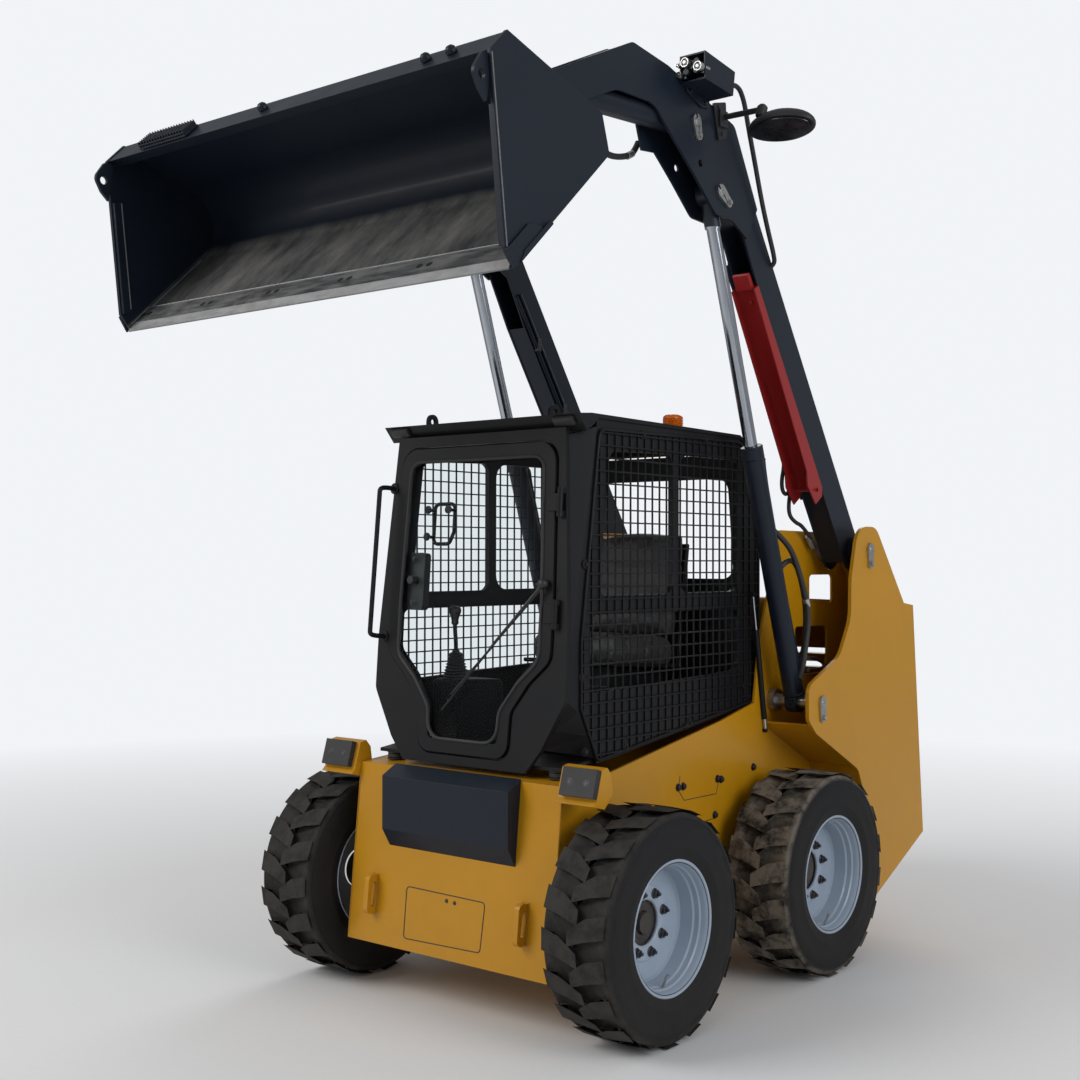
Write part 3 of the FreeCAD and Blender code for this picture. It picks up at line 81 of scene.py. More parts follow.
AXLE_Y = middle_of("tyre_front_left").y
CAB_FOOT = (-149, 862)
CAB_SIDE_X = 455
MESH_ROD_X = 461
STRUT_X = 488
LEVER_X = 258
WORK_LAMP_X = 390
MOUNT_X = 385
BUCKET_TIP = (-907, 2375)
BUCKET_WALL_X = 879
BUCKET_TOP = 488
REAR_LAMP_X = 420
SIDE_PLATE_X = 479
WINDOW_PIPE_X = 500
BOOM_PIVOT = (1550, 1618)
LIFT_EYE = (520, 2900)
LIFT_X = 584
TILT_BASE = (360, 3115)
TILT_HOSE_X = 463
ARM_HOSE_X = 514
ARM_PIPE_X = 520
PIN_RADIUS = 20
LIFT_BASE = (1150, 1022)
BUCKET_HINGE = (-506, 2981)
ARM_INNER_X = 530
STEP_SPAN = (-700, -450)
TOWER_X = 700
GOOSE_X = 640


def spot(x, y, z):
    """Point of the machine, in metres of the scene."""
    return Vector((x * MM, y * MM + AXLE_Y, z * MM))


def colour(name, description, value):
    return FloatVectorProperty(
        name=name, description=description, subtype="COLOR", size=3, min=0.0, max=1.0, default=value
    )


def length(name, description, value):
    """Length in metres, given in millimetres."""
    return FloatProperty(name=name, description=description, unit="LENGTH", default=value * MM, min=0.0)


def turn(name, description, degrees):
    return FloatProperty(name=name, description=description, unit="ROTATION",
                         default=math.radians(degrees))


class LoaderColours(bpy.types.PropertyGroup):
    """Paints and plastics of the loader"""

    chassis: colour("Chassis", "Golden paint of the frame and the towers", (0.53, 0.248, 0.004))
    boom: colour("Boom", "Blue-black paint of the arms and the bucket", (0.0070, 0.0125, 0.0230))
    cab: colour("Cab", "Black paint of the cab", (0.0065, 0.0072, 0.0090))
    rim: colour("Rims", "Pale grey-blue paint of the rims", (0.34, 0.41, 0.50))
    lock: colour("Arm lock", "Red paint of the arm lock", (0.30, 0.012, 0.012))
    tyre: colour("Tyres", "Rubber of the tyres", (0.0085, 0.0086, 0.0095))
    dust: colour("Dust", "Dried mud and dust", (0.24, 0.19, 0.135))
    beacon: colour("Beacon", "Lens of the beacon", (0.95, 0.20, 0.008))
    seat: colour("Seat", "Vinyl of the seat", (0.028, 0.028, 0.031))


class LoaderSizes(bpy.types.PropertyGroup):
    """Sizes of the loader's fittings"""

    lug_count: IntProperty(name="Lugs", description="Lugs on each side of a tyre", default=18, min=4)
    lug_height: length("Lug height", "Height of the tread lugs", 22)
    bolt_circle: length("Bolt circle", "Radius of the wheel bolts' circle", 101.6)
    wheel_bolts: IntProperty(name="Wheel bolts", description="Bolts of one wheel", default=8, min=3)
    hose: length("Hose", "Diameter of the hydraulic hoses", 22)
    pipe: length("Pipe", "Diameter of the steel pipes", 16)
    weld: length("Weld", "Width of a weld bead", 9)
    dump_angle: turn("Dump angle", "Bucket floor below level", 43.1)
    arm_lean: turn("Arm lean", "Lean of the raised arms from upright", 33.3)
    cab_lean: turn("Cab lean", "Lean of the cab's front", 4.3)


def colours():
    return bpy.context.scene.loader_colours


def sizes():
    return bpy.context.scene.loader_sizes


# Node trees
class Wiring:
    """Adds nodes to a tree and joins them."""

    def __init__(self, tree):
        self.tree = tree

    def put(self, socket, value):
        if isinstance(value, bpy.types.NodeSocket):
            self.tree.links.new(value, socket)
        elif value is not None:
            socket.default_value = value

    def node(self, kind, values=None, out=0, **settings):
        item = self.tree.nodes.new(kind)
        for name, value in settings.items():
            setattr(item, name, value)
        for key, value in (values or {}).items():
            self.put(item.inputs[key], value)
        return item.outputs[out]

    def math(self, operation, first, second=None, clamp=False):
        return self.node(
            "ShaderNodeMath", {0: first, 1: second}, operation=operation, use_clamp=clamp
        )

    def noise(self, vector, scale, detail=3.0, roughness=0.55):
        values = {"Vector": vector, "Scale": scale, "Detail": detail, "Roughness": roughness}
        return self.node("ShaderNodeTexNoise", values)

    def ramp(self, value, low, high, start=0.0, end=1.0):
        values = {"Value": value, "From Min": low, "From Max": high, "To Min": start, "To Max": end}
        return self.node("ShaderNodeMapRange", values, clamp=True)

    def mix(self, factor, first, second, blend="MIX"):
        return self.node(
            "ShaderNodeMix", {0: factor, 6: first, 7: second}, out=2, data_type="RGBA", blend_type=blend
        )

    def split(self, vector):
        item = self.tree.nodes.new("ShaderNodeSeparateXYZ")
        self.put(item.inputs[0], vector)
        return item.outputs

    def stretched(self, vector, scale, rotation=(0.0, 0.0, 0.0), location=(0.0, 0.0, 0.0)):
        values = {"Vector": vector, "Scale": scale, "Rotation": rotation, "Location": location}
        return self.node("ShaderNodeMapping", values)

    def place(self):
        return self.node("ShaderNodeTexCoord", out="Object")


def new_group(name, inputs, outputs):
    """Empty node group with named sockets, its wiring, and its input and output nodes."""
    tree = bpy.data.node_groups.new(name, "ShaderNodeTree")
    kinds = {"colour": "NodeSocketColor", "value": "NodeSocketFloat", "vector": "NodeSocketVector"}
    for label, kind in inputs:
        tree.interface.new_socket(label, in_out="INPUT", socket_type=kinds[kind])
    for label, kind in outputs:
        tree.interface.new_socket(label, in_out="OUTPUT", socket_type=kinds[kind])
    source = tree.nodes.new("NodeGroupInput").outputs
    sink = tree.nodes.new("NodeGroupOutput").inputs
    return tree, Wiring(tree), source, sink


def edge_group():
    """Mask of worn edges, with the normal of softly rounded ones."""
    name = "Edge wear"
    if name in bpy.data.node_groups:
        return bpy.data.node_groups[name]
    inputs = [("Radius", "value"), ("Wear", "value")]
    tree, w, source, sink = new_group(name, inputs, [("Mask", "value"), ("Normal", "vector")])
    place = w.place()
    rounded = w.node("ShaderNodeBevel", {"Radius": source["Radius"]}, samples=4)
    flat = w.node("ShaderNodeNewGeometry", out="Normal")
    alike = w.node("ShaderNodeVectorMath", {0: rounded, 1: flat}, out="Value", operation="DOT_PRODUCT")
    bend = w.math("SUBTRACT", 1.0, alike)
    patches = w.noise(place, 46.0, 6.0, 0.7)
    broken = w.math("MULTIPLY", bend, w.ramp(patches, 0.35, 0.7))
    mask = w.ramp(broken, 0.02, 0.11)
    w.put(sink["Mask"], w.math("MULTIPLY", mask, source["Wear"]))
    w.put(sink["Normal"], rounded)
    return tree


def dust_group():
    """Mask of dust and dried mud, thicker low down, on ledges and in patches."""
    name = "Dust"
    if name in bpy.data.node_groups:
        return bpy.data.node_groups[name]
    inputs = [("Amount", "value"), ("Top", "value")]
    tree, w, source, sink = new_group(name, inputs, [("Mask", "value"), ("Height", "value")])
    place = w.place()
    upward = w.split(w.node("ShaderNodeTexCoord", out="Normal"))["Z"]
    height = w.split(place)["Z"]
    low = w.math("SUBTRACT", 1.0, w.math("DIVIDE", height, source["Top"]), clamp=True)
    ledge = w.math("MULTIPLY", w.ramp(upward, 0.3, 1.0), 0.45)
    clouds = w.noise(place, 3.1, 6.0, 0.62)
    speckle = w.noise(place, 64.0, 4.0, 0.7)
    where = w.math("ADD", w.math("MULTIPLY", low, 0.8), ledge)
    patchy = w.math("MULTIPLY", where, w.ramp(clouds, 0.28, 0.72))
    mask = w.math("MULTIPLY", patchy, w.ramp(speckle, 0.25, 0.62, 0.55, 1.0))
    w.put(sink["Mask"], w.math("MULTIPLY", mask, source["Amount"], clamp=True))
    w.put(sink["Height"], speckle)
    return tree


def grain_group():
    """Fine relief and slow tone changes of a surface."""
    name = "Grain"
    if name in bpy.data.node_groups:
        return bpy.data.node_groups[name]
    outputs = [("Tone", "value"), ("Relief", "value"), ("Scratches", "value")]
    tree, w, source, sink = new_group(name, [("Scale", "value")], outputs)
    place = w.place()
    slow = w.noise(place, 1.9, 5.0, 0.6)
    blotch = w.noise(place, 14.0, 4.0, 0.6)
    w.put(sink["Tone"], w.math("ADD", w.math("MULTIPLY", slow, 0.65), w.math("MULTIPLY", blotch, 0.35)))
    fine = w.node("ShaderNodeTexNoise", {"Vector": place, "Scale": source["Scale"], "Detail": 3.0})
    w.put(sink["Relief"], fine)
    lines = w.noise(w.stretched(place, (9.0, 2.0, 240.0), (0.5, 0.2, 0.0)), 1.0, 3.0, 0.5)
    more = w.noise(w.stretched(place, (5.0, 190.0, 4.0), (0.3, 0.0, 0.6)), 1.0, 3.0, 0.5)
    both = w.math("MAXIMUM", w.ramp(lines, 0.70, 0.76), w.ramp(more, 0.72, 0.78))
    w.put(sink["Scratches"], both)
    return tree


def rgba(value):
    return tuple(value)[:3] + (1.0,)


def group_node(w, tree, values):
    item = w.tree.nodes.new("ShaderNodeGroup")
    item.node_tree = tree
    for key, value in values.items():
        w.put(item.inputs[key], value)
    return item.outputs


def new_material(name):
    """Material with a Principled shader: itself, its wiring and the shader's inputs."""
    material = bpy.data.materials.new(name)
    material.use_nodes = True
    shader = material.node_tree.nodes["Principled BSDF"]
    return material, Wiring(material.node_tree), shader.inputs


def known(name):
    return bpy.data.materials.get(name)


def bump(w, height, strength, distance, normal=None):
    values = {"Height": height, "Strength": strength, "Distance": distance}
    if normal is not None:
        values["Normal"] = normal
    return w.node("ShaderNodeBump", values)


def painted(name, paint, chip=(0.05, 0.045, 0.04), roughness=0.38, wear=0.5, dust=0.35, coat=0.25,
            top=1.3, scratch=0.15, rounding=2.5, gleam=0.35):
    """Paint with soft edges, chips, scratches and dust."""
    if known(name):
        return known(name)
    material, w, shader = new_material(name)
    edge = group_node(w, edge_group(), {"Radius": rounding * MM, "Wear": wear})
    grime = group_node(w, dust_group(), {"Amount": dust, "Top": top})
    grain = group_node(w, grain_group(), {"Scale": 420.0})
    light = [min(1.0, c * 1.15 + 0.001) for c in paint]
    dark = [c * 0.80 for c in paint]
    tone = w.mix(grain["Tone"], rgba(dark), rgba(light))
    scored = w.math("MULTIPLY", grain["Scratches"], scratch)
    tone = w.mix(scored, tone, rgba([c * 0.5 + 0.05 for c in paint]))
    chipped = w.mix(edge["Mask"], tone, rgba(chip))
    w.put(shader["Base Color"], w.mix(grime["Mask"], chipped, rgba(colours().dust)))
    gloss = w.ramp(grain["Tone"], 0.3, 0.7, roughness - 0.06, roughness + 0.08)
    gloss = w.math("ADD", gloss, w.math("MULTIPLY", grime["Mask"], 0.35))
    w.put(shader["Roughness"], w.math("ADD", gloss, w.math("MULTIPLY", scored, 0.2), clamp=True))
    relief = w.math("SUBTRACT", grain["Relief"], w.math("MULTIPLY", edge["Mask"], 1.5))
    w.put(shader["Normal"], bump(w, relief, 0.12, 0.4 * MM, edge["Normal"]))
    shader["Coat Weight"].default_value = coat
    shader["Coat Roughness"].default_value = 0.12
    shader["Specular IOR Level"].default_value = gleam
    return material


def bare_metal(name, tint, roughness=0.32, rust=0.15, streak=(2.0, 90.0, 2.0), dust=0.0):
    """Bare steel, brushed one way, with stains."""
    if known(name):
        return known(name)
    material, w, shader = new_material(name)
    place = w.place()
    brush = w.noise(w.stretched(place, streak), 3.0, 4.0, 0.6)
    stain = w.noise(place, 6.0, 7.0, 0.65)
    grain = group_node(w, grain_group(), {"Scale": 300.0})
    grime = group_node(w, dust_group(), {"Amount": dust, "Top": 3.5})
    tone = w.mix(brush, rgba([c * 0.62 for c in tint]), rgba([min(1.0, c * 1.25) for c in tint]))
    spots = w.math("MULTIPLY", w.ramp(stain, 0.52, 0.72), rust)
    tone = w.mix(spots, tone, rgba((0.10, 0.055, 0.03)))
    w.put(shader["Base Color"], w.mix(grime["Mask"], tone, rgba(colours().dust)))
    gloss = w.ramp(brush, 0.3, 0.7, roughness, roughness + 0.2)
    w.put(shader["Roughness"], w.math("ADD", gloss, w.math("MULTIPLY", spots, 0.5), clamp=True))
    w.put(shader["Metallic"], w.math("SUBTRACT", 1.0, w.math("MAXIMUM", spots, grime["Mask"]),
                                     clamp=True))
    relief = w.math("ADD", brush, w.math("MULTIPLY", grain["Relief"], 0.5))
    w.put(shader["Normal"], bump(w, relief, 0.25, 0.4 * MM))
    return material


def chrome():
    """Hard chrome of the cylinder rods, with a film of oil."""
    if known("chrome_rod"):
        return known("chrome_rod")
    material, w, shader = new_material("chrome_rod")
    film = w.noise(w.place(), 9.0, 5.0, 0.6)
    w.put(shader["Base Color"], w.mix(film, rgba((0.34, 0.37, 0.42)), rgba((0.52, 0.54, 0.58))))
    w.put(shader["Roughness"], w.ramp(film, 0.3, 0.7, 0.08, 0.2))
    shader["Metallic"].default_value = 1.0
    return material


def moulded(name, tint, roughness=0.55, grain_scale=900.0, relief=0.2, dust=0.15):
    """Rubber or moulded plastic with a fine grain."""
    if known(name):
        return known(name)
    material, w, shader = new_material(name)
    grain = group_node(w, grain_group(), {"Scale": grain_scale})
    grime = group_node(w, dust_group(), {"Amount": dust, "Top": 2.6})
    edge = group_node(w, edge_group(), {"Radius": 1.5 * MM, "Wear": 0.3})
    tone = w.mix(grain["Tone"], rgba([c * 0.75 for c in tint]), rgba([c * 1.3 for c in tint]))
    tone = w.mix(edge["Mask"], tone, rgba([c * 1.6 + 0.02 for c in tint]))
    w.put(shader["Base Color"], w.mix(grime["Mask"], tone, rgba(colours().dust)))
    w.put(shader["Roughness"], w.ramp(grain["Tone"], 0.3, 0.7, roughness - 0.08, roughness + 0.1))
    w.put(shader["Normal"], bump(w, grain["Relief"], relief, 0.3 * MM, edge["Normal"]))
    return material


def tyre_rubber(name, mud):
    """Tyre rubber with a fine grain, and mud on the lugs."""
    if known(name):
        return known(name)
    material, w, shader = new_material(name)
    place = w.place()
    grime = group_node(w, dust_group(), {"Amount": 0.28, "Top": 0.75})
    grain = group_node(w, grain_group(), {"Scale": 500.0})
    across = w.node("ShaderNodeAttribute", out="Fac", attribute_name="tread", attribute_type="GEOMETRY")
    caked = w.ramp(w.noise(place, 17.0, 7.0, 0.68), 0.36, 0.58)
    crust = w.math("MULTIPLY", w.math("MULTIPLY", across, caked), mud)
    base = colours().tyre
    tone = w.mix(grain["Tone"], rgba([c * 0.7 for c in base]), rgba([c * 1.5 for c in base]))
    tone = w.mix(w.math("MULTIPLY", grime["Mask"], 0.30), tone, rgba(colours().dust))
    earth = w.mix(grain["Relief"], rgba((0.10, 0.085, 0.066)), rgba((0.27, 0.235, 0.19)))
    w.put(shader["Base Color"], w.mix(crust, tone, earth))
    w.put(shader["Roughness"], w.ramp(crust, 0.0, 1.0, 0.68, 0.92))
    relief = w.math("ADD", grain["Relief"], w.math("MULTIPLY", crust, 1.6))
    w.put(shader["Normal"], bump(w, relief, 0.35, 1.2 * MM))
    shader["Specular IOR Level"].default_value = 0.25
    return material


def clear_glass():
    """Tinted safety glass."""
    if known("door_pane"):
        return known("door_pane")
    material, w, shader = new_material("door_pane")
    smear = w.noise(w.place(), 5.0, 6.0, 0.7)
    w.put(shader["Base Color"], w.mix(smear, rgba((0.80, 0.86, 0.86)), rgba((0.88, 0.92, 0.92))))
    w.put(shader["Roughness"], w.ramp(smear, 0.45, 0.75, 0.0, 0.035))
    shader["Transmission Weight"].default_value = 1.0
    shader["IOR"].default_value = 1.12
    return material


def lens(name, tint, transmission=0.6, roughness=0.12):
    """Moulded lens with a film of dust."""
    if known(name):
        return known(name)
    material, w, shader = new_material(name)
    film = w.noise(w.place(), 40.0, 4.0, 0.6)
    w.put(shader["Base Color"], w.mix(film, rgba([c * 0.8 for c in tint]), rgba(tint)))
    w.put(shader["Roughness"], w.ramp(film, 0.35, 0.7, roughness, roughness + 0.12))
    shader["Transmission Weight"].default_value = transmission
    shader["IOR"].default_value = 1.45
    return material


def bucket_material():
    """Bucket paint, scoured to grey steel on the floor inside."""
    if known("bucket_coat"):
        return known("bucket_coat")
    material = painted(
        "bucket_coat", colours().boom, wear=0.7, dust=0.02, coat=0.05, top=9.0, roughness=0.44,
        gleam=0.22
    )
    w = Wiring(material.node_tree)
    shader = material.node_tree.nodes["Principled BSDF"].inputs
    angle = sizes().dump_angle
    low = Vector(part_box("cutting_edge")[0])
    tip = Matrix.Rotation(-angle, 4, "X") @ Vector((0.0, low.y, low.z))
    local = w.stretched(w.place(), (1.0, 1.0, 1.0), (-angle, 0.0, 0.0), (0.0, -tip.y, -tip.z))
    axes = w.split(local)
    ragged = w.noise(w.stretched(local, (2.0, 5.0, 5.0)), 2.0, 6.0, 0.65)
    reach = w.math("ADD", axes["Y"], w.math("MULTIPLY", ragged, 0.05))
    floor = w.ramp(reach, 0.53, 0.49)
    floor = w.math("MULTIPLY", floor, w.ramp(axes["Z"], 0.022, 0.016))
    floor = w.math("MULTIPLY", floor, w.ramp(axes["Z"], 0.0035, 0.006))
    side = w.math("ABSOLUTE", axes["X"])
    floor = w.math("MULTIPLY", floor, w.ramp(side, 0.886, 0.876))
    smears = w.noise(w.stretched(local, (3.0, 1.2, 1.0), (0.0, 0.0, 0.9)), 2.3, 7.0, 0.7)
    steel = w.mix(w.ramp(smears, 0.36, 0.66), rgba((0.055, 0.057, 0.060)), rgba((0.22, 0.215, 0.205)))
    paint = shader["Base Color"].links[0].from_socket
    w.put(shader["Base Color"], w.mix(floor, paint, steel))
    gloss = shader["Roughness"].links[0].from_socket
    w.put(shader["Roughness"], w.math("ADD", gloss, w.math("MULTIPLY", floor, 0.12), clamp=True))
    w.put(shader["Metallic"], w.math("MULTIPLY", floor, 0.35))
    return material


def rod_material(name, node, neck):
    """Chrome rod whose eye and neck are painted: neck is the painted length from the eye's end."""
    if known(name):
        return known(name)
    material, w, shader = new_material(name)
    high = Vector(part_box(node)[1])
    film = w.noise(w.place(), 9.0, 5.0, 0.6)
    height = w.split(w.place())["Z"]
    paint = w.ramp(height, high.z - neck - 0.002, high.z - neck)
    shine = w.mix(film, rgba((0.30, 0.33, 0.38)), rgba((0.48, 0.50, 0.54)))
    w.put(shader["Base Color"], w.mix(paint, shine, rgba(colours().boom)))
    w.put(shader["Metallic"], w.math("SUBTRACT", 1.0, paint))
    w.put(shader["Roughness"], w.ramp(paint, 0.0, 1.0, 0.14, 0.42))
    return material


# Finishes by name
def chassis_paint():
    return painted("golden_coat", colours().chassis, wear=0.35, dust=0.05, coat=0.12, roughness=0.36)


def boom_paint():
    return painted(
        "boom_coat", colours().boom, wear=0.35, dust=0.02, coat=0.06, top=9.0, roughness=0.38, gleam=0.22
    )


def cab_paint():
    return painted(
        "cab_coat", colours().cab, wear=0.3, dust=0.04, coat=0.05, top=4.0, roughness=0.44, gleam=0.2
    )


def rim_paint():
    return painted("rim_coat", colours().rim, wear=0.25, dust=0.14, top=0.9, roughness=0.34, scratch=0.3)


def lock_paint():
    return painted("lock_coat", colours().lock, wear=0.5, dust=0.0, coat=0.1, top=9.0, roughness=0.36)


def black_rubber():
    return moulded("black_rubber", (0.016, 0.016, 0.018), 0.6)


def black_plastic():
    return moulded("black_plastic", (0.014, 0.014, 0.016), 0.45)


def zinc():
    return bare_metal("zinc_plate", (0.46, 0.46, 0.45), 0.28, 0.10, (20.0, 20.0, 20.0))


def dark_bolt():
    return bare_metal("dark_bolt", (0.09, 0.09, 0.095), 0.35, 0.25, (20.0, 20.0, 20.0))


def edge_steel():
    return bare_metal("edge_steel", (0.27, 0.275, 0.28), 0.38, 0.30, (3.0, 14.0, 14.0))


def iron():
    return painted("dull_iron", (0.03, 0.03, 0.032), wear=0.2, dust=0.5, coat=0.0, roughness=0.6)


def mirror_glass():
    """Dull dark glass of the mirrors."""
    return bare_metal("mirror_glass", (0.10, 0.11, 0.125), 0.16, 0.0, (4.0, 4.0, 4.0))


def seat_vinyl():
    """Black vinyl of the seat with a soft leather grain."""
    if known("seat_vinyl"):
        return known("seat_vinyl")
    material, w, shader = new_material("seat_vinyl")
    place = w.place()
    cells = w.node("ShaderNodeTexVoronoi", {"Vector": place, "Scale": 520.0}, out="Distance")
    wrinkle = w.noise(w.stretched(place, (2.0, 6.0, 6.0)), 9.0, 6.0, 0.65)
    base = colours().seat
    tone = w.mix(wrinkle, rgba([c * 0.7 for c in base]), rgba([c * 1.5 for c in base]))
    grime = group_node(w, dust_group(), {"Amount": 0.3, "Top": 3.0})
    w.put(shader["Base Color"], w.mix(grime["Mask"], tone, rgba(colours().dust)))
    w.put(shader["Roughness"], w.ramp(wrinkle, 0.3, 0.7, 0.42, 0.6))
    relief = w.math("ADD", cells, w.math("MULTIPLY", wrinkle, 0.8))
    w.put(shader["Normal"], bump(w, relief, 0.3, 0.5 * MM))
    return material


# Shapes
def aimed(start, way):
    """Matrix at a point whose own Z follows a direction."""
    turned = Vector(way).to_track_quat("Z", "Y").to_matrix().to_4x4()
    return Matrix.Translation(start) @ turned


def add_rod(bm, start, end, radius, tip=None, segments=20):
    """Round bar from one point to another; tip is the radius at its end."""
    start, end = Vector(start), Vector(end)
    way = end - start
    matrix = aimed((start + end) / 2, way)
    tip = radius if tip is None else tip
    made = bmesh.ops.create_cone(
        bm, cap_ends=True, segments=segments, radius1=radius, radius2=tip, depth=way.length,
        matrix=matrix
    )
    return made["verts"]


def add_plate(bm, corners, thickness):
    """Flat plate through corners, thickened by a vector."""
    verts = [bm.verts.new(corner) for corner in corners]
    face = bm.faces.new(verts)
    grown = bmesh.ops.extrude_face_region(bm, geom=[face])["geom"]
    moved = [item for item in grown if isinstance(item, bmesh.types.BMVert)]
    bmesh.ops.translate(bm, vec=Vector(thickness), verts=moved)
    return verts + moved


def add_block(bm, first, second):
    """Rectangular block between two opposite corners."""
    low = Vector([min(pair) for pair in zip(first, second)])
    high = Vector([max(pair) for pair in zip(first, second)])
    matrix = Matrix.Translation((low + high) / 2) @ Matrix.Diagonal((high - low).to_4d())
    return bmesh.ops.create_cube(bm, size=1.0, matrix=matrix)["verts"]


def metres(rows):
    """Rows of (radius, along) in metres, from millimetres."""
    return [(radius * MM, along * MM) for radius, along in rows]


def add_spun(bm, profile, base, way, steps=48):
    """Full turn of a profile of (radius, along) about a direction."""
    matrix = aimed(base, way)
    verts = [bm.verts.new(matrix @ Vector((radius, 0.0, along))) for radius, along in profile]
    edges = [bm.edges.new(pair) for pair in zip(verts, verts[1:])]
    axis = matrix.to_3x3() @ Vector((0.0, 0.0, 1.0))
    bmesh.ops.spin(
        bm, geom=verts + edges, cent=matrix.translation, axis=axis, angle=math.tau, steps=steps,
        use_merge=True, use_duplicate=False,
    )


def add_bolt(bm, seat, way, across=19 * MM, washer=True):
    """Hexagon bolt head on its washer."""
    way = Vector(way).normalized()
    seat = Vector(seat)
    height = across * 0.42
    base = seat
    if washer:
        base = seat + way * across * 0.12
        add_rod(bm, seat - way * across * 0.05, base, across * 0.78, segments=24)
    head = bmesh.ops.create_cone(
        bm, cap_ends=True, segments=6, radius1=across * 0.577, radius2=across * 0.577, depth=height,
        matrix=aimed(base + way * height / 2, way),
    )["verts"]
    add_rod(bm, base + way * height * 0.6, base + way * height * 1.08, across * 0.46, across * 0.36, 18)
    return head


def add_weld(bm, start, end, radius):
    """Weld bead: a row of small balls that overlap, as its ripples."""
    start, end = Vector(start), Vector(end)
    way = end - start
    count = max(2, int(way.length / (radius * 1.1)))
    for i in range(count):
        at = start + way * ((i + 0.5) / count)
        ring = bmesh.ops.create_icosphere(bm, subdivisions=1, radius=radius,
                                          matrix=aimed(at, way))["verts"]
        bmesh.ops.scale(bm, vec=(0.9, 0.9, 0.9), space=Matrix.Translation(-at), verts=ring)


def tidy_mesh(bm):
    bmesh.ops.remove_doubles(bm, verts=bm.verts, dist=0.01 * MM)
    bmesh.ops.recalc_face_normals(bm, faces=bm.faces)


def piece(name, bm, body, material, rounding=0.0, smooth=35.0):
    """Object from a bmesh that rides on a body."""
    tidy_mesh(bm)
    mesh = bpy.data.meshes.new(name)
    bm.to_mesh(mesh)
    bm.free()
    mesh.polygons.foreach_set("use_smooth", [True] * len(mesh.polygons))
    mesh.set_sharp_from_angle(angle=math.radians(smooth))
    mesh.materials.append(material)
    item = bpy.data.objects.new(name, mesh)
    bpy.context.scene.collection.objects.link(item)
    if rounding:
        soft = item.modifiers.new("Rounding", "BEVEL")
        soft.width = rounding * MM
        soft.segments = 2
        soft.limit_method = "ANGLE"
        soft.angle_limit = math.radians(40)
        soft.harden_normals = False
    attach(item, body)
    return item


def tube_mesh(name, points, diameter, body, material, order=3, resolution=8):
    """Round tube along a smooth line through control points."""
    curve = bpy.data.curves.new(name, "CURVE")
    curve.dimensions = "3D"
    curve.bevel_depth = diameter / 2
    curve.bevel_resolution = 4
    curve.use_fill_caps = True
    spline = curve.splines.new("NURBS")
    spline.points.add(len(points) - 1)
    for point, place in zip(spline.points, points):
        point.co = Vector(place).to_4d()
    spline.order_u = order
    spline.use_endpoint_u = True
    spline.resolution_u = resolution
    source = bpy.data.objects.new(name + "_line", curve)
    bpy.context.scene.collection.objects.link(source)
    mesh = bpy.data.meshes.new_from_object(source.evaluated_get(bpy.context.evaluated_depsgraph_get()))
    bpy.data.objects.remove(source)
    mesh.polygons.foreach_set("use_smooth", [True] * len(mesh.polygons))
    mesh.materials.clear()
    mesh.materials.append(material)
    item = bpy.data.objects.new(name, mesh)
    bpy.context.scene.collection.objects.link(item)
    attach(item, body)
    return item


def rounded(corners, closed=True, step=15.0):
    """Points of an outline whose corners (a, b, radius) are rounded by arcs."""
    points = []
    count = len(corners)
    for i, corner in enumerate(corners):
        here = Vector(corner[:2])
        radius = corner[2] if len(corner) > 2 else 0.0
        if not radius or (not closed and i in (0, count - 1)):
            points.append(here)
            continue
        before = (Vector(corners[i - 1][:2]) - here).normalized()
        after = (Vector(corners[(i + 1) % count][:2]) - here).normalized()
        half = before.angle(after) / 2
        reach = radius / math.tan(half)
        centre = here + (before + after).normalized() * radius / math.sin(half)
        first = here + before * reach - centre
        sweep = first.angle_signed(here + after * reach - centre)
        parts = max(2, int(abs(math.degrees(sweep)) / step))
        for k in range(parts + 1):
            points.append(centre + Matrix.Rotation(-sweep * k / parts, 2) @ first)
    return points


def flat_sheet(bm, points, place, thickness):
    """Plate through a rounded outline: place turns (a, b) into a point, thickness is a vector."""
    return add_plate(bm, [place(a, b) for a, b in points], thickness)


def on_front(x, z, out=0.0):
    """Point of the cab's leaning front: across, up along the lean, and out towards the front."""
    lean = sizes().cab_lean
    y = CAB_FOOT[0] - out * math.cos(lean) + z * math.sin(lean)
    return spot(x, y, CAB_FOOT[1] + z * math.cos(lean) + out * math.sin(lean))


def in_bucket(x, along, up):
    """Point of the bucket: across, back along its floor from the cutting edge, and up from the floor."""
    angle = sizes().dump_angle
    y = BUCKET_TIP[0] + along * math.cos(angle) - up * math.sin(angle)
    return spot(x, y, BUCKET_TIP[1] + along * math.sin(angle) + up * math.cos(angle))


def on_arm(x, along, across):
    """Point of the arm: across the machine, along the arm from its pivot, and towards its back edge."""
    lean = sizes().arm_lean
    y = BOOM_PIVOT[0] - along * math.sin(lean) + across * math.cos(lean)
    return spot(x, y, BOOM_PIVOT[1] + along * math.cos(lean) + across * math.sin(lean))


def add_seam(bm, points, radius):
    """Thin bar along a line of points, for seams, gaskets and weld lines."""
    for start, end in zip(points, points[1:]):
        if (end - start).length > 0.1 * MM:
            add_rod(bm, start, end, radius, segments=8)


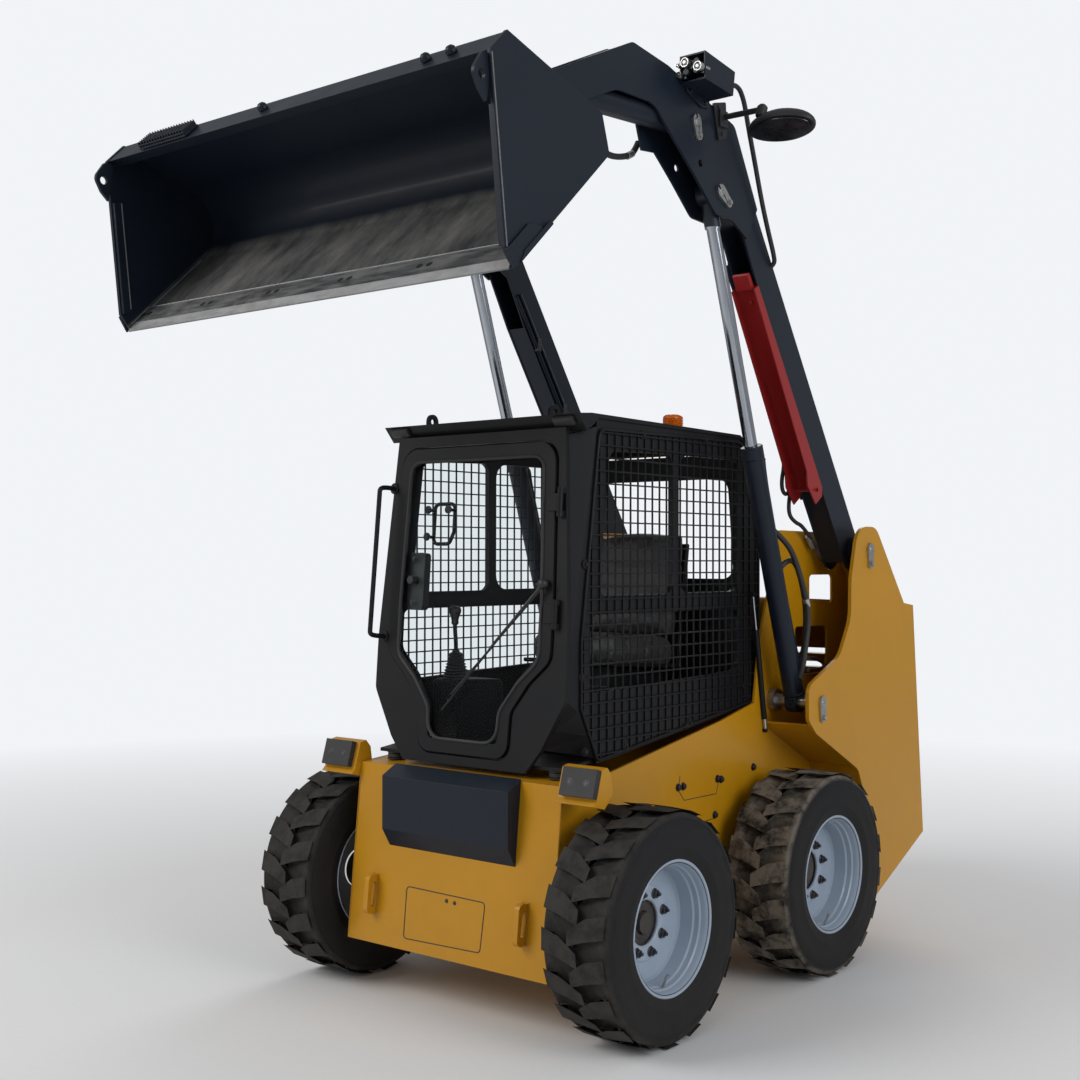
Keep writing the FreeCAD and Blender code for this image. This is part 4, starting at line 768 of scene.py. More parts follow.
# Stage
def photo_camera():
    """Camera where the photographer stood."""
    data = bpy.data.cameras.new("photo_camera")
    data.sensor_width = 36.0
    data.lens = CAMERA_LENS
    data.clip_end = 500.0
    camera = bpy.data.objects.new("photo_camera", data)
    bpy.context.scene.collection.objects.link(camera)
    yaw, pitch, roll = (math.radians(angle) for angle in (CAMERA_YAW, CAMERA_PITCH, CAMERA_ROLL))
    ahead = Vector((-math.sin(yaw) * math.cos(pitch), math.cos(yaw) * math.cos(pitch), math.sin(pitch)))
    right = ahead.cross(Vector((0.0, 0.0, 1.0))).normalized()
    up = right.cross(ahead)
    axes = Matrix((right, up, -ahead)).transposed().to_4x4()
    place = Matrix.Translation(spot(*CAMERA_PLACE))
    camera.matrix_world = place @ axes @ Matrix.Rotation(roll, 4, "Z")
    bpy.context.scene.camera = camera


def add_lamp(name, place, target, size, power, tint=(1.0, 1.0, 1.0)):
    data = bpy.data.lights.new(name, "AREA")
    data.shape = "RECTANGLE"
    data.size = size
    data.size_y = size
    data.energy = power
    data.color = tint
    lamp = bpy.data.objects.new(name, data)
    lamp.matrix_world = aimed(Vector(place), Vector(place) - Vector(target))
    bpy.context.scene.collection.objects.link(lamp)


def studio_world():
    """Even light all round, and a pale backdrop where the camera or glass looks past the machine."""
    world = bpy.data.worlds.new("studio")
    world.use_nodes = True
    bpy.context.scene.world = world
    w = Wiring(world.node_tree)
    background = world.node_tree.nodes["Background"].inputs
    path = world.node_tree.nodes.new("ShaderNodeLightPath").outputs
    seen = w.math("MAXIMUM", path["Is Camera Ray"], path["Is Transmission Ray"])
    w.put(background["Color"], rgba(BACKDROP))
    w.put(background["Strength"], w.ramp(seen, 0.0, 1.0, 0.42, 0.93))


def pale_floor():
    bm = bmesh.new()
    bmesh.ops.create_grid(bm, x_segments=4, y_segments=4, size=200.0)
    mesh = bpy.data.meshes.new("floor")
    bm.to_mesh(mesh)
    bm.free()
    material, w, shader = new_material("pale_floor")
    place = w.place()
    speck = w.noise(place, 40.0, 4.0, 0.6)
    path = w.tree.nodes.new("ShaderNodeLightPath").outputs
    seen = w.math("MAXIMUM", path["Is Camera Ray"], path["Is Transmission Ray"])
    reach = w.node("ShaderNodeVectorMath", {0: place}, out="Value", operation="LENGTH")
    far = w.math("MULTIPLY", w.ramp(reach, 2.6, 8.0), seen)
    pale = w.mix(speck, rgba((0.76, 0.76, 0.76)), rgba((0.80, 0.80, 0.80)))
    w.put(shader["Base Color"], w.mix(far, pale, rgba((0.0, 0.0, 0.0))))
    w.put(shader["Emission Strength"], w.math("MULTIPLY", far, 0.93))
    shader["Emission Color"].default_value = rgba(BACKDROP)
    shader["Roughness"].default_value = 0.9
    shader["Specular IOR Level"].default_value = 0.0
    mesh.materials.append(material)
    floor = bpy.data.objects.new("floor", mesh)
    bpy.context.scene.collection.objects.link(floor)


def build_stage():
    bpy.context.scene.view_settings.view_transform = "Standard"
    photo_camera()
    studio_world()
    pale_floor()
    heart = (0.0, 0.0, 1.4)
    add_lamp("key", (-4.5, -7.5, 6.5), heart, 5.0, 440.0, (1.0, 0.98, 0.95))
    add_lamp("side", (8.5, -1.0, 4.5), heart, 5.0, 270.0, (0.95, 0.97, 1.0))
    add_lamp("rear", (-3.0, 8.0, 6.0), heart, 5.0, 210.0)


# Finishes given to the solids
def finish_nodes():
    """Gives each solid that stays its finish."""
    by_slot = {
        "chassis_paint": chassis_paint(), "arm_paint": boom_paint(), "cab_paint": cab_paint(),
        "worn_steel": edge_steel(), "pin_steel": zinc(), "glass": clear_glass(),
        "rubber": black_rubber(),
        "seat_cloth": black_plastic(), "plastic": black_plastic(), "lamp": black_plastic(),
        "beacon_lens": black_plastic(), "lock_paint": lock_paint(), "engine_iron": iron(),
        "chrome": chrome(), "tyre": tyre_rubber("tyre_rubber", 0.2), "rim_paint": rim_paint(),
        "barrel_paint": boom_paint(),
    }
    own = {"bucket_shell": bucket_material()}
    for side in ("left", "right"):
        own["lift_rod_" + side] = rod_material("lift_rod_chrome", "lift_rod_left", 160 * MM)
        own["tilt_rod_" + side] = chrome()
    for part in frame["record"]["subparts"]:
        node = part["node"]
        material = own.get(node, by_slot[part["material_slot"]])
        mesh_object = frame["nodes"][node]
        for slot in mesh_object.material_slots:
            slot.material = material


# Wheels
def tyre_profile(half, outer):
    """Section of the carcass from the inner bead round to the outer one, as (radius, along)."""
    seat = 209 * MM
    wall = [
        (0.0, 14), (10, 12), (26, 6), (46, 2), (50, 1), (54, 2), (96, 0.5), (131, 2), (140, 5.5),
        (143, 4), (151, 6),
    ]
    side = [(seat + rise * MM, half - back * MM) for rise, back in wall]
    side += [(369 * MM, half - 12 * MM), (372 * MM, half - 20 * MM), (366 * MM, half - 40 * MM),
             (outer - 24 * MM, half * 0.35)]
    return side + [(radius, -along) for radius, along in reversed(side)]


def add_lug(bm, base, top, low, high, matrix, side):
    """Tread lug between a wide foot and a narrower top, both outlines (along the axle, round the tyre)."""
    foot = []
    for x, s in base:
        depth = low - abs(x) ** 4 * 60.0
        foot.append(bm.verts.new(matrix @ Vector((x * side, s, depth))))
    face = bm.faces.new(foot)
    grown = bmesh.ops.extrude_face_region(bm, geom=[face])["geom"]
    raised = [item for item in grown if isinstance(item, bmesh.types.BMVert)]
    for vert, (x, s) in zip(raised, top):
        reach = math.sqrt(high ** 2 - s ** 2) - abs(x) ** 4 * 16.0
        vert.co = matrix @ Vector((x * side, s, reach))
    edges = {edge for vert in raised for edge in vert.link_edges}
    bmesh.ops.bevel(
        bm, geom=list(edges), offset=3.5 * MM, affect="EDGES", segments=2, profile=0.5, material=-1
    )


def build_tyre(name):
    low, high = (Vector(corner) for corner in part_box("tyre_" + name))
    centre = (low + high) / 2
    outer = (high.z - low.z) / 2
    half = (high.x - low.x) / 2
    bm = bmesh.new()
    add_spun(bm, tyre_profile(half, outer), centre, (1.0, 0.0, 0.0), 96)
    outline = [(118, 37), (118, -29), (50, -44), (-14, -66), (-14, -24), (50, 19)]
    top = [(x * MM, s * MM) for x, s in outline]
    base = [((130.5 if x > 100 else x * 1.05) * MM, s * 1.12 * MM) for x, s in outline]
    count = sizes().lug_count
    outward = 1.0 if centre.x > 0 else -1.0
    for row, side in enumerate((outward, -outward)):
        for i in range(count):
            angle = math.tau * (i + 0.5 * row) / count
            matrix = Matrix.Translation(centre) @ Matrix.Rotation(angle, 4, "X")
            add_lug(bm, base, top, outer - sizes().lug_height - 8 * MM, outer - 0.4 * MM, matrix, side)
    mud = {"rear_left": 1.0, "rear_right": 0.7}.get(name, 0.14)
    item = piece(
        "tyre_rubber_" + name, bm, "wheel_" + name, tyre_rubber("tyre_" + name, mud), 0.0, 40
    )
    mark = item.data.attributes.new("tread", "FLOAT", "POINT")
    values = []
    for vert in item.data.vertices:
        radius = math.hypot(vert.co.y - centre.y, vert.co.z - centre.z)
        values.append(min(1.0, max(0.0, (radius - (outer - 28 * MM)) / (8 * MM))))
    mark.data.foreach_set("value", values)
    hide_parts("tyre_" + name)


def build_rim(name):
    """Stepped steel rim with its disc, a bright flange edge, nuts, a hub face in dark iron that paints the
    shade of the bore, and valve.
    """
    centre = middle_of("tyre_" + name)
    sign = 1.0 if centre.x > 0 else -1.0
    outward = Vector((sign, 0.0, 0.0))
    section = [
        (222.5, 120), (219, 123), (214, 121.5), (208, 114), (205, 104), (203, 92), (198, 87), (197, 70),
        (192, 64), (190.5, 42), (189, 18), (183, 9), (176, 7), (126, 7), (123, 9), (80, 9), (76, 7),
        (74, 4), (74, -2), (176, -2), (183, -10), (186, -40), (188, -70), (196, -92), (203, -106),
        (211, -118), (219, -123), (222.5, -120), (222.5, -116), (215, -112), (209.5, -104), (209, -80),
        (200, -62), (196, -45), (196, 45), (200, 62), (209, 80), (209.5, 104), (215, 112), (222.5, 116),
        (222.5, 120),
    ]
    bm = bmesh.new()
    add_spun(bm, metres(section), centre, outward, 96)
    item = piece("rim_" + name + "_steel", bm, "wheel_" + name, rim_paint(), 0.0, 30)
    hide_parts("rim_" + name)
    face = centre + outward * 9 * MM
    bm = bmesh.new()
    count = sizes().wheel_bolts
    for i in range(count):
        angle = math.tau * (i + 0.35) / count
        spoke = Vector((0.0, math.cos(angle), math.sin(angle)))
        seat = face + spoke * sizes().bolt_circle
        add_rod(bm, seat, seat + outward * 5 * MM, 18 * MM, 14 * MM)
        add_bolt(bm, seat + outward * 3 * MM, outward, 25 * MM, washer=False)
        add_rod(bm, seat + outward * 10 * MM, seat + outward * 25 * MM, 8 * MM, 6 * MM)
    piece("wheel_nuts_" + name, bm, "wheel_" + name, dark_bolt(), 0.6)
    bm = bmesh.new()
    # Hub face: a dark iron ring across the bore, painted shade of the hole over the hub.
    hub = [(37, 1), (39, 3), (50, 3), (53, 0), (66, -1), (73.5, -3), (73.5, -14), (37, -14), (37, 1)]
    add_spun(bm, [(r * MM, (x - 6) * MM) for r, x in hub], centre, outward, 48)
    piece("hub_shade_ring_" + name, bm, "wheel_" + name, iron(), 0.0)
    bm = bmesh.new()
    down = Vector((0.0, 0.0, -1.0))
    stem = centre + outward * 78 * MM + down * 190 * MM
    add_rod(bm, stem + down * 4 * MM, stem - down * 26 * MM + outward * 14 * MM, 5 * MM, 4 * MM)
    add_rod(
        bm, stem - down * 24 * MM + outward * 13 * MM, stem - down * 36 * MM + outward * 19 * MM,
        6 * MM, 5.5 * MM
    )
    piece("valve_" + name, bm, "wheel_" + name, zinc(), 0.4)


# Bucket
def bucket_welds():
    """Weld beads of the bucket: behind the cutting edge, along the sides and on the front bars."""
    bm = bmesh.new()
    radius = sizes().weld / 2
    add_weld(bm, in_bucket(-876, 118, 15), in_bucket(876, 118, 15), radius)
    for sign in (-1.0, 1.0):
        inner = BUCKET_WALL_X * sign
        add_weld(bm, in_bucket(inner, 20, 15), in_bucket(inner, 118, 15), radius)
        add_weld(bm, in_bucket(inner, 118, 9), in_bucket(inner, 420, 9), radius)
        add_weld(bm, in_bucket(893 * sign, 12, 58), in_bucket(893 * sign, 318, 478), radius * 0.8)
        add_weld(bm, in_bucket(867 * sign, 44, 58), in_bucket(867 * sign, 262, 352), radius * 0.8)
    piece("bucket_welds", bm, "bucket", edge_steel())


def bucket_bars():
    """Bars along the sides' front edges, wear plates at their feet and the folded lip's ends."""
    bm = bmesh.new()
    bar = [(10, 64), (238, 370), (268, 352), (42, 46)]
    wear = [(-6, -1), (168, -1), (168, 22), (126, 58), (4, 58)]
    shoe = [(18, -1), (212, -1), (212, 14), (60, 16)]
    for sign in (-1.0, 1.0):
        outward = Vector((sign, 0.0, 0.0))
        flat_sheet(bm, bar, lambda a, b: in_bucket(BUCKET_WALL_X * sign, a, b), outward * -12 * MM)
        flat_sheet(bm, wear, lambda a, b: in_bucket(892 * sign, a, b), outward * 9 * MM)
        flat_sheet(bm, shoe, lambda a, b: in_bucket(901 * sign, a, b), outward * 5 * MM)
    piece("bucket_bars", bm, "bucket", boom_paint(), 1.2)


def hole_shade_profile(radius):
    """Low countersink, a flat disc of painted shade that reads as a hole: (radius, along) in metres."""
    return [(0.0, 0.2 * MM), (radius * 0.8 * MM, 0.2 * MM), (radius * MM, 0.6 * MM),
            (radius * 1.15 * MM, 0.0)]


def bucket_holes():
    """Bolt holes of the cutting edge, in pairs, drawn as black discs of painted shade, and the knobs on the
    bucket's top.
    """
    bm = bmesh.new()
    up = in_bucket(0, 0, 1) - in_bucket(0, 0, 0)
    # Each bolt hole is a flat black disc: painted shade where the hole would be.
    for column in (-850, -510, -170, 170, 510, 850):
        for step in (-20, 20):
            x = max(-866, min(866, column + step))
            add_spun(bm, hole_shade_profile(10.0), in_bucket(x, 72, 15.9), up, 20)
    piece("edge_hole_shade", bm, "bucket", black_plastic())
    bm = bmesh.new()
    for x in (-92, 618, 716):
        base = in_bucket(x, 372, 489)
        add_spun(bm, metres(((0, 22), (9, 20), (15, 14), (17, 6), (17, 0), (0, 0))),
                 base, up, 24)
    piece("top_knobs", bm, "bucket", boom_paint(), 0.5)


def step_teeth():
    """Serrated bars of the step on the bucket's top edge, on a flat base."""
    bm = bmesh.new()
    low, high = STEP_SPAN
    base = BUCKET_TOP + 0.5
    flat = [(332, base), (403, base), (403, base + 6), (332, base + 6)]
    flat_sheet(bm, flat, lambda a, b: in_bucket(low, a, b), Vector(((high - low) * MM, 0.0, 0.0)))
    teeth = []
    for i in range(8):
        teeth += [(334 + i * 9, base + 20), (338.5 + i * 9, base + 26)]
    profile = [(334, base + 5)] + teeth + [(402, base + 20), (402, base + 5)]
    count = 17
    for i in range(count):
        x = low + 4 + i * (high - low - 12) / (count - 1)
        flat_sheet(bm, profile, lambda a, b: in_bucket(x, a, b), Vector((4 * MM, 0.0, 0.0)))
    for along in (336, 396):
        add_rod(
            bm, in_bucket(low, along, base + 13), in_bucket(high, along, base + 13), 3 * MM, segments=10
        )
    item = piece("step_bars", bm, "bucket", boom_paint(), 0.4)
    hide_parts("step_grating")


# Boom
def add_retainer_bolts(bm, x, sign, y, z, tail):
    """Bolts of a pin's retainer: a greased cap on the pin, and a bolt at the tail."""
    outward = Vector((sign, 0.0, 0.0))
    add_spun(bm, metres(((0, 2.5), (12, 2.5), (14, 0), (14, -1))),
             spot(x * sign, y, z), outward, 24)
    add_rod(bm, spot((x + 2) * sign, y, z), spot((x + 7) * sign, y, z), 5 * MM, 3 * MM, 12)
    add_bolt(bm, spot(x * sign, y + tail[0], z + tail[1]), outward, 16 * MM)


def drop_outline(y, z, tail):
    """Outline of a drop-shaped retainer that covers a pin and narrows to its bolt."""
    reach = math.hypot(*tail)
    way = Vector((tail[0] / reach, tail[1] / reach))
    aside = Vector((-way.y, way.x))
    corners = []
    for ahead, off, radius in ((-28, 28, 27), (-28, -28, 27), (reach + 16, -16, 15),
                               (reach + 16, 16, 15)):
        at = Vector((y, z)) + way * ahead + aside * off
        corners.append((at.x, at.y, radius))
    return rounded(corners)


def chassis_pin_bolts():
    bm = bmesh.new()
    for y, z in (BOOM_PIVOT, LIFT_BASE):
        for sign in (-1.0, 1.0):
            add_retainer_bolts(bm, TOWER_X + 10.5, sign, y, z, (0, -57))
    piece("chassis_pin_bolts", bm, "chassis", zinc(), 0.4)


def boom_pin_pieces():
    """Pins of the boom with their drop-shaped retainers, and the bucket's pins with round caps."""
    bm = bmesh.new()
    rows = ((*LIFT_EYE, (48, -32), GOOSE_X), (*TILT_BASE, (12, -47), ARM_INNER_X))
    for sign in (-1.0, 1.0):
        outward = Vector((sign * 10 * MM, 0.0, 0.0))
        for y, z, tail, start in rows:
            outline = drop_outline(y, z, tail)
            flat_sheet(bm, outline, lambda a, b: spot((GOOSE_X + 0.2) * sign, a, b), outward)
            add_rod(
                bm, spot(start * sign, y, z), spot((GOOSE_X + 10) * sign, y, z), PIN_RADIUS * MM,
                segments=32
            )
            add_retainer_bolts(bm, GOOSE_X + 10.2, sign, y, z, tail)
        y, z = BUCKET_HINGE
        cap = [(0, 10), (18, 10), (21, 8), (29, 8), (32, 5), (32, 0), (20, 0), (20, -110), (0, -110)]
        add_spun(bm, metres(cap), spot((GOOSE_X + 0.2) * sign, y, z), outward, 40)
    item = piece("boom_retainers", bm, "boom", zinc(), 0.5)
    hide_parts("boom_pins")


def coupler_fittings():
    """Quick couplings in the open box on the boom, with the box's bracket."""
    ahead = (0.0, -1.0, 0.0)
    bm = bmesh.new()
    for x, z, size in ((676, 3285, 17), (729, 3262, 17), (651, 3248, 11), (648, 3280, 8)):
        at = spot(x, 247, z)
        rings = [
            (0, 12), (0.35, 12), (0.5, 9), (0.55, 3), (0.72, 3), (0.78, 10), (0.97, 10), (1.0, 6),
            (1.0, -10), (0.86, -12), (0.86, -20), (1.0, -22), (1.0, -46), (0, -46),
        ]
        add_spun(bm, [(r * size * MM, h * MM) for r, h in rings], at, ahead, 32)
    piece("quick_couplings", bm, "boom", zinc(), 0.4)
    bm = bmesh.new()
    bracket = [(292, 3228, 0), (300, 3205, 6), (392, 3172, 10), (440, 3178, 8), (440, 3208, 0)]
    flat_sheet(bm, rounded(bracket), lambda a, b: spot(GOOSE_X + 1, a, b), Vector((6 * MM, 0.0, 0.0)))
    for y, z in ((318, 3212), (408, 3190)):
        add_bolt(bm, spot(GOOSE_X + 7, y, z), (1.0, 0.0, 0.0), 13 * MM)
    piece("coupling_bracket", bm, "boom", boom_paint(), 0.8)


def boom_hoses():
    """Hoses and pipes that are clipped along the boom."""
    wide = sizes().hose
    thin = sizes().pipe
    rubber = black_rubber()
    back = [(692, 420, 3250), (692, 490, 3268), (690, 560, 3282), (690, 600, 3240), (684, 640, 3150),
            (674, 700, 3040), (664, 763, 2914), (656, 826, 2806), (650, 876, 2730), (640, 902, 2694),
            (612, 888, 2680)]
    tube_mesh("box_hose", [spot(*p) for p in back], wide * 0.8, "boom", rubber)
    paths = (
        ("upper", ((520, -98), (478, -122), (440, -172), (398, -190), (366, -164), (384, -118))),
        ("lower", ((372, -132), (335, -176), (290, -196), (240, -168), (200, -128), (120, -100))),
    )
    for side, sign in SIDES:
        for name, line in paths:
            points = [on_arm(ARM_HOSE_X * sign, along, across) for along, across in line]
            tube_mesh("arm_hose_%s_%s" % (name, side), points, thin, "boom", rubber)
        for i in range(2):
            x = ARM_PIPE_X * sign
            off = -82 + 26 * i
            line = [on_arm(x, 300, off), on_arm(x, 1120, off), on_arm(x, 1330, off - 3)]
            tube_mesh("arm_pipe_%d_%s" % (i, side), line, thin, "boom", boom_paint())
    bm = bmesh.new()
    for sign in (-1.0, 1.0):
        for along in (420, 760, 1080):
            add_block(bm, on_arm(509 * sign, along, -94), on_arm(530 * sign, along + 30, -46))
    piece("pipe_clamps", bm, "boom", black_plastic(), 2.0)
    loop = [(-60, 3030), (24, 2985), (75, 2972), (127, 2972), (199, 2990), (240, 3014), (262, 3052)]
    for side, sign in SIDES:
        points = [spot(TILT_HOSE_X * sign, y, z) for y, z in loop]
        tube_mesh("tilt_hose_" + side, points, wide, "boom", rubber)
    bm = bmesh.new()
    for sign in (-1.0, 1.0):
        start, end = spot(TILT_HOSE_X * sign, 196, 2989), spot(TILT_HOSE_X * sign, 228, 3006)
        add_rod(bm, start, end, 12.5 * MM, segments=24)
    piece("hose_sleeves", bm, "boom", zinc(), 0.5)


def bowed(point):
    """Point of a unit ball, a little squared off across and along."""
    x, y, z = point
    return math.copysign(abs(x) ** 1.1, x), math.copysign(abs(y) ** 0.95, y), z


def build_mirror_pieces():
    """Mirrors: bolted bracket, tube with its hub, domed housing and glass."""
    for side, sign in SIDES:
        bm = bmesh.new()
        plate = rounded([(465, 3206, 6), (499, 3079, 6), (552, 3100, 6), (545, 3227, 6)])
        flat_sheet(bm, plate, lambda a, b: spot(GOOSE_X * sign, a, b), Vector((sign * 9 * MM, 0.0, 0.0)))
        add_block(bm, spot((GOOSE_X + 8) * sign, 492, 3128), spot((GOOSE_X + 20) * sign, 540, 3188))
        for y, z in ((494, 3196), (516, 3104)):
            add_bolt(bm, spot((GOOSE_X + 9) * sign, y, z), (sign, 0.0, 0.0), 13 * MM)
        add_rod(
            bm, spot((GOOSE_X + 14) * sign, 520, 3165), spot(812 * sign, 520, 3163), 10.5 * MM,
            segments=24
        )
        add_spun(bm, metres(((0, 22), (13, 20), (19, 12), (19, -24), (15, -28), (0, -28))),
                 spot(812 * sign, 522, 3160), (0.0, 0.348, 0.937), 28)
        item = piece("mirror_mount_" + side, bm, "boom", black_plastic(), 1.0)
        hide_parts("mirrors")
        centre = spot(875 * sign, 550, 3096)
        up = Vector((0.0, 0.348, 0.937))
        ahead = Vector((0.0, -0.937, 0.348))
        bm = bmesh.new()
        bmesh.ops.create_uvsphere(bm, u_segments=40, v_segments=20, radius=1.0)
        cut = bm.verts[:] + bm.edges[:] + bm.faces[:]
        kept = bmesh.ops.bisect_plane(
            bm, geom=cut, plane_co=(0, 0, -0.12), plane_no=(0, 0, 1), clear_inner=True
        )
        rim = [edge for edge in kept["geom_cut"] if isinstance(edge, bmesh.types.BMEdge)]
        bmesh.ops.contextual_create(bm, geom=rim)
        for vert in bm.verts:
            across, along, rise = bowed(vert.co)
            place = centre + Vector((130 * MM * across, 0.0, 0.0)) + ahead * along * 76 * MM
            vert.co = place + up * rise * 54 * MM
        item = piece("mirror_shell_" + side, bm, "boom", black_plastic(), 2.0)
        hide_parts("mirrors")
        bm = bmesh.new()
        bmesh.ops.create_circle(bm, cap_ends=True, segments=48, radius=1.0)
        low = centre - up * 9.5 * MM
        for vert in bm.verts:
            across, along, rise = bowed(vert.co)
            vert.co = low + Vector((116 * MM * across, 0.0, 0.0)) + ahead * along * 64 * MM
        bmesh.ops.solidify(bm, geom=bm.faces[:], thickness=2 * MM)
        item = piece("mirror_glass_" + side, bm, "boom", mirror_glass(), 0.0)
        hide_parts("mirrors")


# Cylinders
def cylinder_fittings():
    """Ports, elbows and the hard pipe along each lift cylinder, and grease nipples."""
    base = Vector(LIFT_BASE)
    way = (Vector(LIFT_EYE) - base).normalized()
    side_way = Vector((-way.y, way.x)) * -1.0
    for side, sign in SIDES:
        x = LIFT_X * sign
        bm = bmesh.new()

        def at(along, off, across=0.0):
            point = base + way * along + side_way * off
            return spot(x + across, point.x, point.y)

        for along in (88, 968):
            add_rod(bm, at(along, 34), at(along, 58), 15 * MM, segments=24)
            add_spun(bm, metres(((0, 9), (14, 9), (16, 6), (16, 0), (0, 0))),
                     at(along, 57), at(along, 58) - at(along, 57), 6)
        for along in (36, 990, 1032):
            add_spun(bm, metres(((41, -4), (44.5, -1), (44.5, 1), (41, 4))),
                     at(along, 0), at(along + 1, 0) - at(along, 0), 40)
        add_rod(bm, at(4, -44), at(4, -56), 5 * MM, 3 * MM, 12)
        piece("lift_ports_" + side, bm, "lift_barrel_" + side, boom_paint(), 0.6)
        line = [at(88, 58), at(88, 72), at(120, 74), at(300, 62), at(800, 60), at(930, 66), at(968, 74),
                at(968, 60)]
        tube_mesh(
            "lift_pipe_" + side, line, sizes().pipe * 0.9, "lift_barrel_" + side,
            boom_paint()
        )


def tower_hoses():
    """Hoses beside the lift cylinders, with sleeves and ties, from the frame to the boom's foot."""
    rubber = black_rubber()
    first = [(584, 986, 1690), (604, 1012, 1662), (624, 1052, 1615), (636, 1086, 1537),
             (640, 1121, 1459),
             (640, 1150, 1395), (640, 1154, 1321), (638, 1140, 1255), (638, 1122, 1180),
             (630, 1118, 1140),
             (623, 1117, 1116)]
    second = [(584, 1034, 1546), (596, 1062, 1574), (606, 1106, 1574), (612, 1137, 1517),
              (612, 1168, 1450),
              (612, 1183, 1387), (612, 1185, 1320), (606, 1186, 1242), (590, 1184, 1180),
              (584, 1177, 1132)]
    for side, sign in SIDES:
        for name, line in (("near", first), ("far", second)):
            points = [spot(x * sign, y, z) for x, y, z in line]
            tube_mesh("tower_hose_%s_%s" % (name, side), points, sizes().hose, "lift_barrel_" + side,
                      rubber)
        bm = bmesh.new()
        for x, start, end in (
            (640, (1137, 1425), (1150, 1396)), (612, (1118, 1549), (1130, 1528)),
            (612, (1174, 1430), (1180, 1408)),
        ):
            add_rod(bm, spot(x * sign, *start), spot(x * sign, *end), 12.2 * MM, segments=24)
        piece("hose_tags_" + side, bm, "lift_barrel_" + side, zinc(), 0.4)


def foot_fittings():
    """Hose fittings at the boom's foot."""
    bm = bmesh.new()
    for sign in (-1.0, 1.0):
        for x, along, across in ((505, 118, -100), (548, 60, -58)):
            here = on_arm(x * sign, along, across)
            there = on_arm(x * sign, along - 44, across + 8)
            add_rod(bm, here, there, 15 * MM, segments=6)
            add_rod(bm, here + (here - there) * 0.4, here, 12.5 * MM, segments=24)
    piece("foot_fittings", bm, "boom", zinc(), 0.5)


# Cab
def build_beacon_pieces():
    """Beacon: black foot with ribs, and a ribbed orange lens with a smooth cap."""
    low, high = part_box("beacon")
    centre = Vector(((low[0] + high[0]) / 2, (low[1] + high[1]) / 2, low[2]))
    up = (0.0, 0.0, 1.0)
    bm = bmesh.new()
    foot = [(0, 0), (44, 0), (44, 5), (41, 7), (41, 12), (43, 13), (43, 17), (36, 20), (0, 20)]
    add_spun(bm, metres(foot), centre, up, 48)
    item = piece("beacon_foot", bm, "chassis", black_plastic(), 0.6)
    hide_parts("beacon")
    top = (high[2] - low[2]) / MM
    bm = bmesh.new()
    shell = [(38, 17), (39.5, 20)]
    for i in range(5):
        z = 22 + i * (top - 38) / 5
        shell += [(39.5, z), (37.8, z + 2), (39.0, z + 4)]
    shell += [(38.5, top - 13), (36, top - 7), (29, top - 2.5), (16, top - 0.5), (0, top)]
    add_spun(bm, metres(shell), centre, up, 64)
    item = piece(
        "beacon_lens", bm, "chassis", lens("beacon_orange", colours().beacon, 0.35, 0.16)
    )
    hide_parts("beacon")
    bm = bmesh.new()
    core = [(0, 18), (15, 18), (15, top - 22), (9, top - 16), (0, top - 15)]
    add_spun(bm, metres(core), centre, up, 24)
    item = piece("beacon_core", bm, "chassis", zinc(), 0.0)
    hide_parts("beacon")


def build_lamps():
    """Work lamps on the visor's corners: rimmed housing and ribbed lens."""
    down = Vector((0.0, 23.5, -27.5)).normalized()
    out = Vector((0.0, -27.5, -23.5)).normalized()
    for side, sign in SIDES:
        centre = spot(WORK_LAMP_X * sign, -66.6, 2043.7)

        def at(a, b, rise=0.0):
            return centre + Vector((a * MM, 0.0, 0.0)) + down * b * MM + out * rise * MM

        bm = bmesh.new()
        body = rounded([(-45, -18, 7), (45, -18, 7), (45, 18, 7), (-45, 18, 7)])
        flat_sheet(bm, body, lambda a, b: at(a, b, -9), out * 9 * MM)
        rim = rounded([(-43, -16, 6), (43, -16, 6), (43, 16, 6), (-43, 16, 6)])
        faces = flat_sheet(bm, rim, lambda a, b: at(a, b, 0), out * 3 * MM)
        top = [f for f in bm.faces if all(v in faces for v in f.verts) and f.normal.length
               and (f.calc_center_median() - centre).dot(out) > 2.5 * MM]
        for face in top:
            bmesh.ops.inset_region(bm, faces=[face], thickness=4 * MM, depth=-2.5 * MM)
        item = piece("lamp_body_" + side, bm, "chassis", black_plastic(), 0.5)
        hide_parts("work_lamps")
        bm = bmesh.new()
        for i in range(19):
            a = -37 + i * 74 / 18
            add_rod(bm, at(a, -11, 0.6), at(a, 11, 0.6), 2.05 * MM, segments=10)
        item = piece(
            "lamp_lens_" + side, bm, "chassis", lens("lamp_glass", (0.62, 0.64, 0.66), 0.25)
        )
        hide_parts("work_lamps")


def crowned(bm, low, high, cuts=14, round_off=0.30):
    """Closed block between two corners whose faces bulge and whose corners are rounded."""
    made = bmesh.ops.create_cube(bm, size=2.0)["verts"]
    edges = list({edge for vert in made for edge in vert.link_edges})
    bmesh.ops.subdivide_edges(bm, edges=edges, cuts=cuts, use_grid_fill=True)
    centre = (Vector(low) + Vector(high)) / 2
    half = (Vector(high) - Vector(low)) / 2
    for vert in bm.verts:
        u = vert.co.copy()
        reach = max(abs(u.x), abs(u.y), abs(u.z))
        ball = u.normalized() * reach
        soft = u.lerp(ball, round_off)
        vert.co = centre + Vector((soft.x * half.x, soft.y * half.y, soft.z * half.z))


def settled(item):
    """Replaces an object's mesh by what its modifiers make of it."""
    graph = bpy.context.evaluated_depsgraph_get()
    mesh = bpy.data.meshes.new_from_object(item.evaluated_get(graph))
    old = item.data
    item.modifiers.clear()
    item.data = mesh
    bpy.data.meshes.remove(old)


